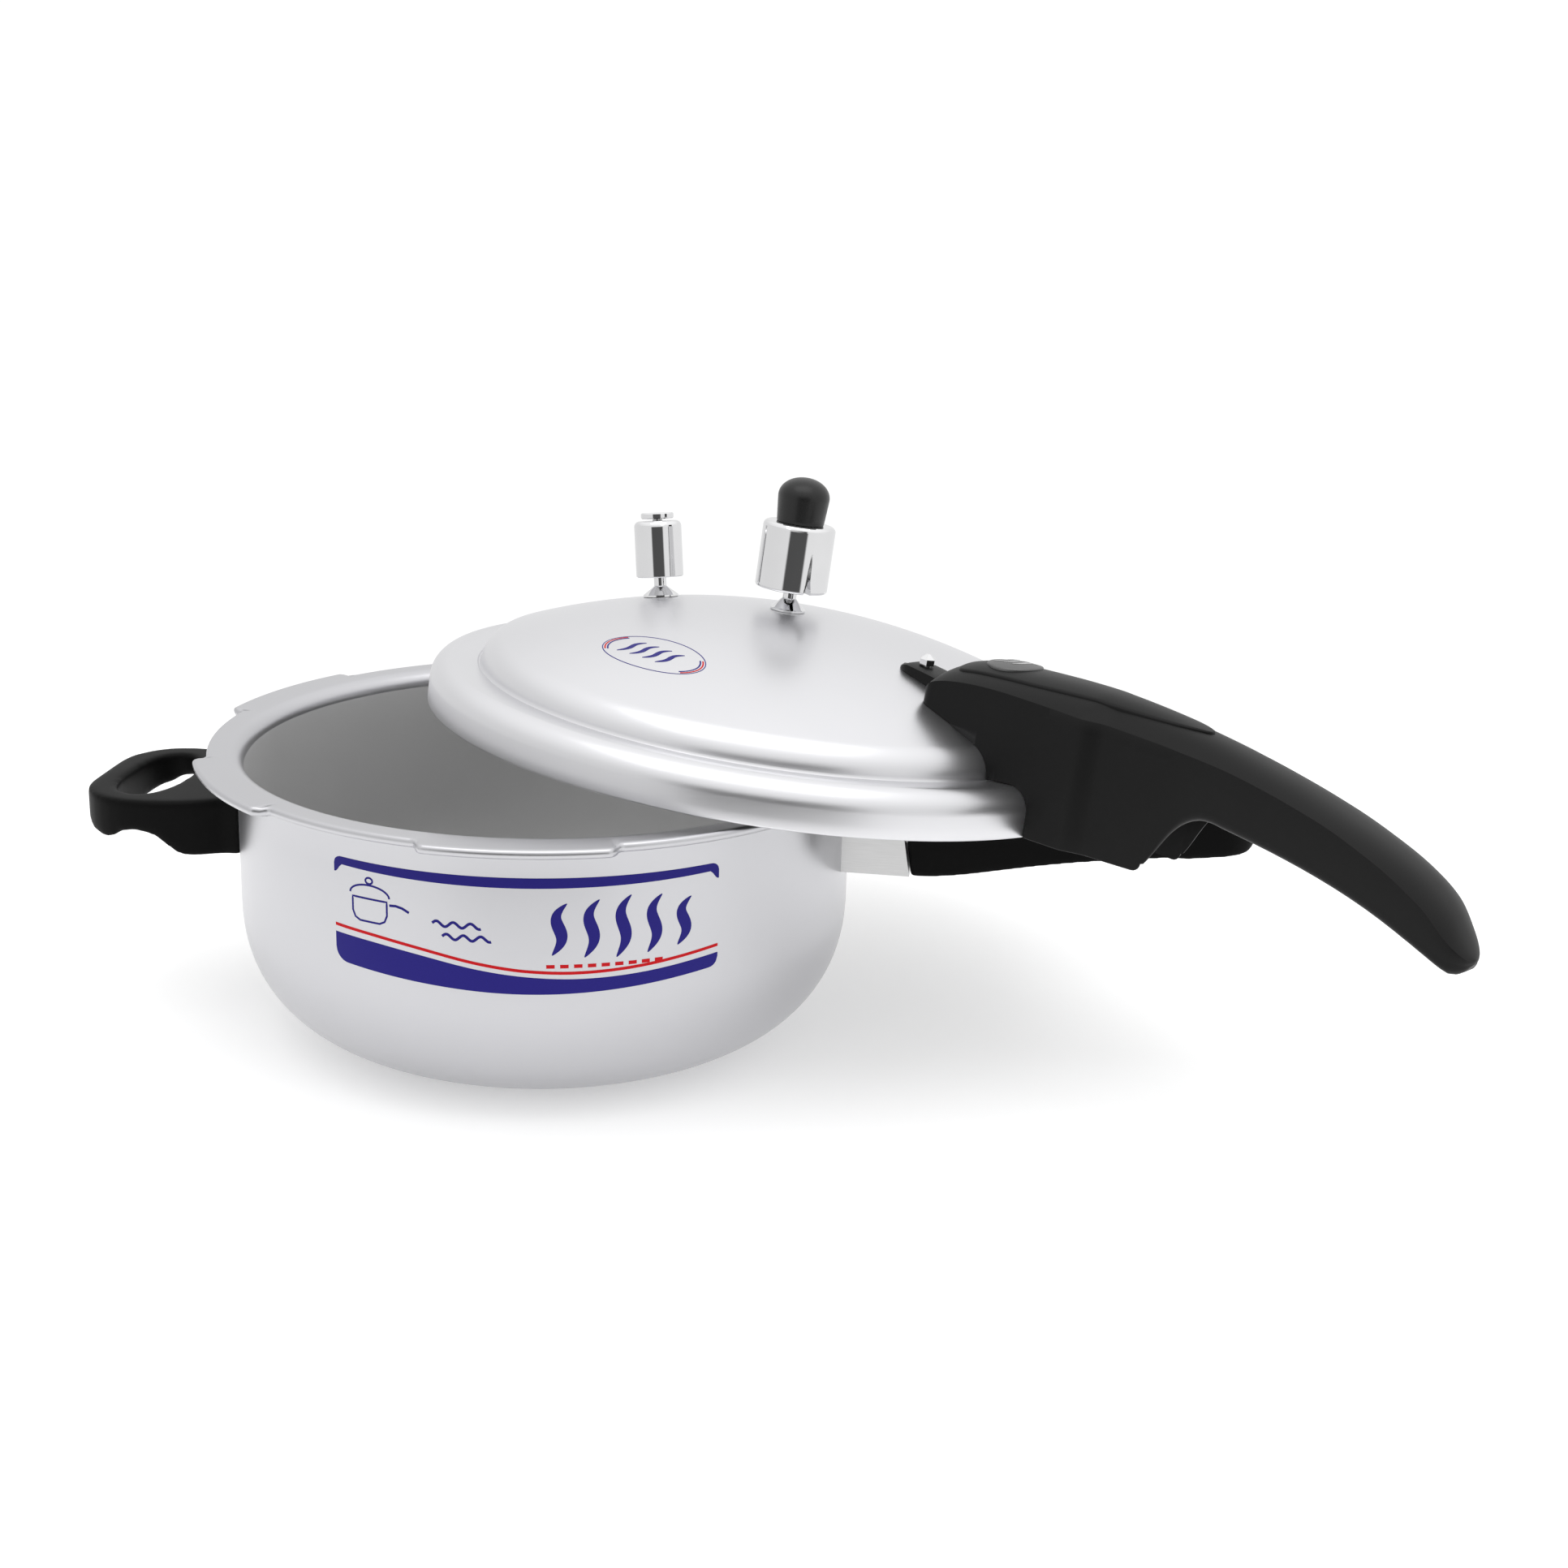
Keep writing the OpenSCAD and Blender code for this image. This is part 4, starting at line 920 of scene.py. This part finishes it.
band = {"high": 94.6, "low": 91.9, "sag": 1.0, "cornerW": 3.0, "cornerH": 2.6, "hook": 3.0,
        "hookOver": (0.4, 3.6), "least": 0.3, "steps": 60,
        "ends": [0, 0.3, 0.8, 1.5, 2.4], "from": 3.5}  # distances in from each end
swoosh = {
    "high": [(-70, 66.9), (-52, 66.0), (-35, 64.2), (-15, 61.0), (0, 59.2), (18, 58.2), (40, 58.9),
             (70, 61.6)],
    "low": [(-70, 56.6), (-52, 55.4), (-35, 54.3), (-15, 53.2), (0, 52.8), (18, 53.0), (40, 54.2),
            (70, 56.8)],
    "corner": (5.0, 3.4), "least": 0.3, "steps": 60,
    "left": [0, 0.3, 0.9, 1.8, 3, 4.5], "leftFrom": 6, "right": [3.6, 2.4, 1.4, 0.6, 0],
    "rightFrom": 5,
}
stripe = {"up": (1.5, 2.6), "fan": 0.010, "steps": 80}
reach = wallPrint["reach"]


def bandRows(b):
    rows = []
    ends = b["ends"]
    for u in ([-reach + d for d in ends] + spread(b["steps"], -reach + b["from"], reach - b["from"])
              + [reach - d for d in reversed(ends)]):
        fromEnd = reach - abs(u)
        high = b["high"] - b["cornerH"] * quarter(1 - min(fromEnd / b["cornerW"], 1))
        low = (b["low"] - b["sag"] * (1 - (u / reach) ** 2)
               - b["hook"] * (1 - step(*b["hookOver"], fromEnd)))
        rows.append((u, min(low, high - b["least"]), high))
    return rows


def swooshRows(w):
    rows = []
    for u in ([-reach + d for d in w["left"]]
              + spread(w["steps"], -reach + w["leftFrom"], reach - w["rightFrom"])
              + [reach - d for d in w["right"]]):
        r = w["corner"][0] if u < 0 else w["corner"][1]
        lift = r * quarter(1 - min((reach - abs(u)) / r, 1))
        high = smooth(w["high"], u)
        rows.append((u, min(smooth(w["low"], u) + lift, high - w["least"]), high))
    return rows


def stripeRows(s):
    rows = []
    for u in spread(s["steps"], -reach, reach):
        base = smooth(swoosh["high"], u) + s["fan"] * abs(u)
        rows.append((u, base + s["up"][0], base + s["up"][1]))
    return rows


ribbon("labelTop", bandRows(band), inkBlue)
ribbon("labelBase", swooshRows(swoosh), inkBlue)
ribbon("labelStripe", stripeRows(stripe), inkRed)


def dense(points, closed, gap=1.2):  # no long straight run, so that a line follows the curve below
    out = []
    for a, b in zip(points, points[1:] + points[:1] if closed else points[1:]):
        n = max(1, math.ceil(math.dist(a, b) / gap))
        out += [(a[0] + (b[0] - a[0]) * i / n, a[1] + (b[1] - a[1]) * i / n) for i in range(n)]
    return out if closed else out + [points[-1]]


def stroke(name, points, widths, mat, surface, closed=False):
    # a pen line through (u, v) points, as wide as widths says at each
    place, body, slot = surface
    if not isinstance(widths, list):
        points = dense(points, closed)
        widths = [widths] * len(points)
    verts, faces = [], []
    n = len(points)
    for i, (u, v) in enumerate(points):
        a = points[(i - 1) % n] if closed or i else points[0]
        b = points[(i + 1) % n] if closed or i < n - 1 else points[-1]
        d = Vector((b[0] - a[0], b[1] - a[1])).normalized()
        w = widths[i] / 2
        for side in (1, 0):
            for k in ((1, -1) if side else (-1, 1)):
                verts.append(place(u - d.y * w * k, v + d.x * w * k, side))
    for i in range(n if closed else n - 1):
        faces += [bridge(4, i, (i + 1) % n, j) for j in range(4)]
    if not closed:
        faces.append((0, 1, 2, 3))
        faces.append(tuple(reversed([(n - 1) * 4 + j for j in range(4)])))
    return piece(name, verts, faces, [mat], body, slot, sharp=60)


curl = {"steps": 40, "tip": 0.3, "narrow": 0.55, "lean": 5.0, "belly": 0.8}


def steam(name, u0, v0, height, swing, fat, mat, surface):  # one curl, thin at both ends
    c = curl
    points, widths = [], []
    for t in spread(c["steps"], 0, 1):
        sway = swing * math.sin(2 * math.pi * t) * (c["narrow"] + (1 - c["narrow"]) * t)
        points.append((u0 + sway + c["lean"] * t, v0 + height * t))
        widths.append(c["tip"] + fat * math.sin(math.pi * t) ** c["belly"])
    stroke(name, points, widths, mat, surface)


def oval(cu, cv, ru, rv, n, a0=0, a1=360):
    points = arc(cu, cv, ru, a0, a1, n, rv)
    return points[:-1] if a1 - a0 >= 360 else points


marks = {
    "curls": [(10, 67.0, 18.5), (21, 66.0, 20.5), (32, 65.4, 22.0), (43, 66.0, 20.5),
              (54, 67.2, 17.0)],  # left end, foot and height of each
    "swing": 2.6, "fat": 4.0,
    "dashes": 9, "dashFrom": 8.0, "dashGap": 4.7, "dashUp": 62.9, "dashLine": 1.3,
    "pot": [(-62, 81.5), (-62, 76.5), (-61, 74.2), (-59, 73.2), (-51, 73.2), (-49, 74.2),
            (-48, 76.5), (-48, 81.5)],
    "potLid": (-55, 82.8, 8.0, 3.6, 30, 0, 180), "potKnob": (-55, 88.0, 1.4, 1.1, 20),
    "potArm": [(-47, 80.5), (-44.5, 80.7), (-42, 80.2), (-39.5, 79.0)],
    "potLine": 0.7, "armLine": 0.9,
    "waves": [(-31, -14, 76.6), (-27.5, -10.5, 72.2)], "waveTall": 0.9, "waveTurn": 1.05,
    "waveLine": 1.0,
}


def drawMarks(m):
    for i, (u0, v0, high) in enumerate(m["curls"]):
        steam(f"labelSteam{i + 1}", u0, v0, high, m["swing"], m["fat"], inkBlue, panPrint)
    for i in range(m["dashes"]):
        u = m["dashFrom"] + m["dashGap"] * i
        stroke(f"labelDash{i + 1}", [(u + 0.32 * k, m["dashUp"]) for k in range(10)],
               m["dashLine"], inkRed, panPrint)
    line = m["potLine"]
    stroke("labelPot", m["pot"], line, inkBlue, panPrint, True)
    stroke("labelPotLid", oval(*m["potLid"]), line, inkBlue, panPrint)
    stroke("labelPotKnob", oval(*m["potKnob"]), line, inkBlue, panPrint, True)
    stroke("labelPotArm", m["potArm"], m["armLine"], inkBlue, panPrint)
    for i, (u0, u1, v) in enumerate(m["waves"]):
        points = [(u, v + m["waveTall"] * math.sin((u - u0) * m["waveTurn"]))
                  for u in spread(48, u0, u1)]
        stroke(f"labelWave{i + 1}", points, m["waveLine"], inkBlue, panPrint)


def drawOval(m):
    stroke("ovalLine", oval(0, 0, m["wide"], m["tall"], 72), m["line"], inkBlue, lidPrint, True)
    for i, (inset, mat) in enumerate(m["arcs"]):
        for side, middle in (("Right", 0), ("Left", 180)):
            points = oval(0, 0, m["wide"] - inset, m["tall"] - inset * m["arcTall"], 72,
                          middle - m["arcDeg"], middle + m["arcDeg"])
            stroke(f"ovalArc{side}{i + 1}", points, m["arcLine"], mat, lidPrint)


def drawCurls(name, m, mat, surface):
    left, foot, height, swing, fat = m["curl"]
    for i, u0 in enumerate(m["curls"]):
        steam(f"{name}{i + 1}", u0 + left, foot, height, swing, fat, mat, surface)


drawMarks(marks)
drawOval(ovalMark)
drawCurls("ovalSteam", ovalMark, inkBlue, lidPrint)
drawCurls("badgeSteam", badgeMark, screwSteel, badgePrint)
print("printed marks made")

finishFor = {  # the CAD pieces, those that a finer piece stands for among them
    bracketSteel: ["pan_bracket", "helper_bracket", "lid_bracket"],
    screwSteel: ["pan_handle_screw", "helper_screw", "lid_bracket_screw", "tongue_stud",
                 "vent_nut", "safety_nut"],
    chromePlate: ["tongue_nut", "vent_pipe", "weight_sleeve", "safety_stem", "safety_case",
                  "safety_disc"],
    wireSteel: ["weight_clip", "weight_needle", "safety_spring", "safety_plunger"],
    knobBlack: ["weight_knob"],
    sealRubber: ["lid_gasket", "vent_washer", "safety_washer"],
    badgeGrey: ["handle_badge"],
    handleBlack: ["lid_handle", "lid_handle_cover", "pan_handle", "helper_handle"],
    panOutside: ["pan_body"],
    lidOutside: ["lid_shell"],
}
for mat, names in finishFor.items():
    for name in names:
        for slot in frame["nodes"][name].material_slots:
            slot.material = mat
print("finishes placed")

paper = {"radius": 0.50, "middle": 0.05, "down": -0.0002, "sides": 128, "colour": 0.80,
         "uneven": 0.01, "cloud": 3.0, "rough": 0.7, "gloss": 0.1, "glow": 0.34}


def floorFinish(t, place):
    p = paper
    cloud = t.noise(place, p["cloud"])
    return {"Base Color": t.blend(cloud, grey(p["colour"] - p["uneven"]), grey(p["colour"])),
            "Roughness": p["rough"], "Specular IOR Level": p["gloss"],
            "Emission Color": (1, 1, 1, 1), "Emission Strength": p["glow"]}


def addFloor(p):
    sides = p["sides"]
    verts = [Vector((0, 0, p["down"]))]
    for i in range(sides):
        x, y = onCircle(p["radius"], 360 * i / sides)
        verts.append(Vector((p["middle"] + x, y, p["down"])))
    data = bpy.data.meshes.new("studioFloor")
    data.from_pydata(verts, [], [(0, i, i % sides + 1) for i in range(1, sides + 1)])
    data.materials.append(paint("floorPaper", floorFinish))
    floor = bpy.data.objects.new("studioFloor", data)
    bpy.context.scene.collection.objects.link(floor)


sky = {"level": 0.90, "top": 1.15, "topOver": (0.2, 0.8), "slant": 0.06, "seen": 1.05,
       "flag": 0.10, "flagToward": (0.127, -0.992), "flagDeg": (24.0, 31.0),
       "flagTop": (0.20, 0.32)}  # the flag is one dark strip that gives polished metal its edges


def addWorld(s):
    world = bpy.data.worlds.new("studioWorld")
    bpy.context.scene.world = world
    world.use_nodes = True
    t = NodeTree(world.node_tree)
    x, y, z = t.split(t.node("ShaderNodeTexCoord", {}, {}, "Generated"))
    flat = (x * x + y * y + 0.0001) ** 0.5
    toward = (x * s["flagToward"][0] + y * s["flagToward"][1]) / flat
    near, far = (math.cos(math.radians(d)) for d in s["flagDeg"])
    flag = t.fade(toward, far, near) * (1 - t.fade(z, *s["flagTop"]))
    light = s["level"] + (s["top"] - s["level"]) * t.fade(z, *s["topOver"])
    light = light * (1 - flag * (1 - s["flag"])) * (1 + x * s["slant"])
    seen = t.node("ShaderNodeLightPath", {}, {}, "Is Camera Ray")
    glow = t.node("ShaderNodeBackground", {}, {0: (1, 1, 1, 1), 1: light})
    plain = t.node("ShaderNodeBackground", {}, {0: (1, 1, 1, 1), 1: s["seen"]})
    both = t.node("ShaderNodeMixShader", {}, {0: seen, 1: glow, 2: plain})
    t.node("ShaderNodeOutputWorld", {}, {0: both})


softTop = {"at": (0.1, -0.3, 1.5), "aim": (0.06, 0.03, 0.1), "size": (1.4, 1.0), "watts": 5.0}


def addSoftbox(s):
    data = bpy.data.lights.new("softTop", "AREA")
    data.shape = "RECTANGLE"
    data.size, data.size_y = s["size"]
    data.energy = s["watts"]
    obj = bpy.data.objects.new("softTop", data)
    obj.location = s["at"]
    obj.rotation_mode = "QUATERNION"
    obj.rotation_quaternion = (Vector(s["aim"]) - Vector(s["at"])).to_track_quat("-Z", "Y")
    bpy.context.scene.collection.objects.link(obj)


addFloor(paper)
addWorld(sky)
addSoftbox(softTop)
bpy.context.scene.view_settings.view_transform = "Standard"
print("studio made")
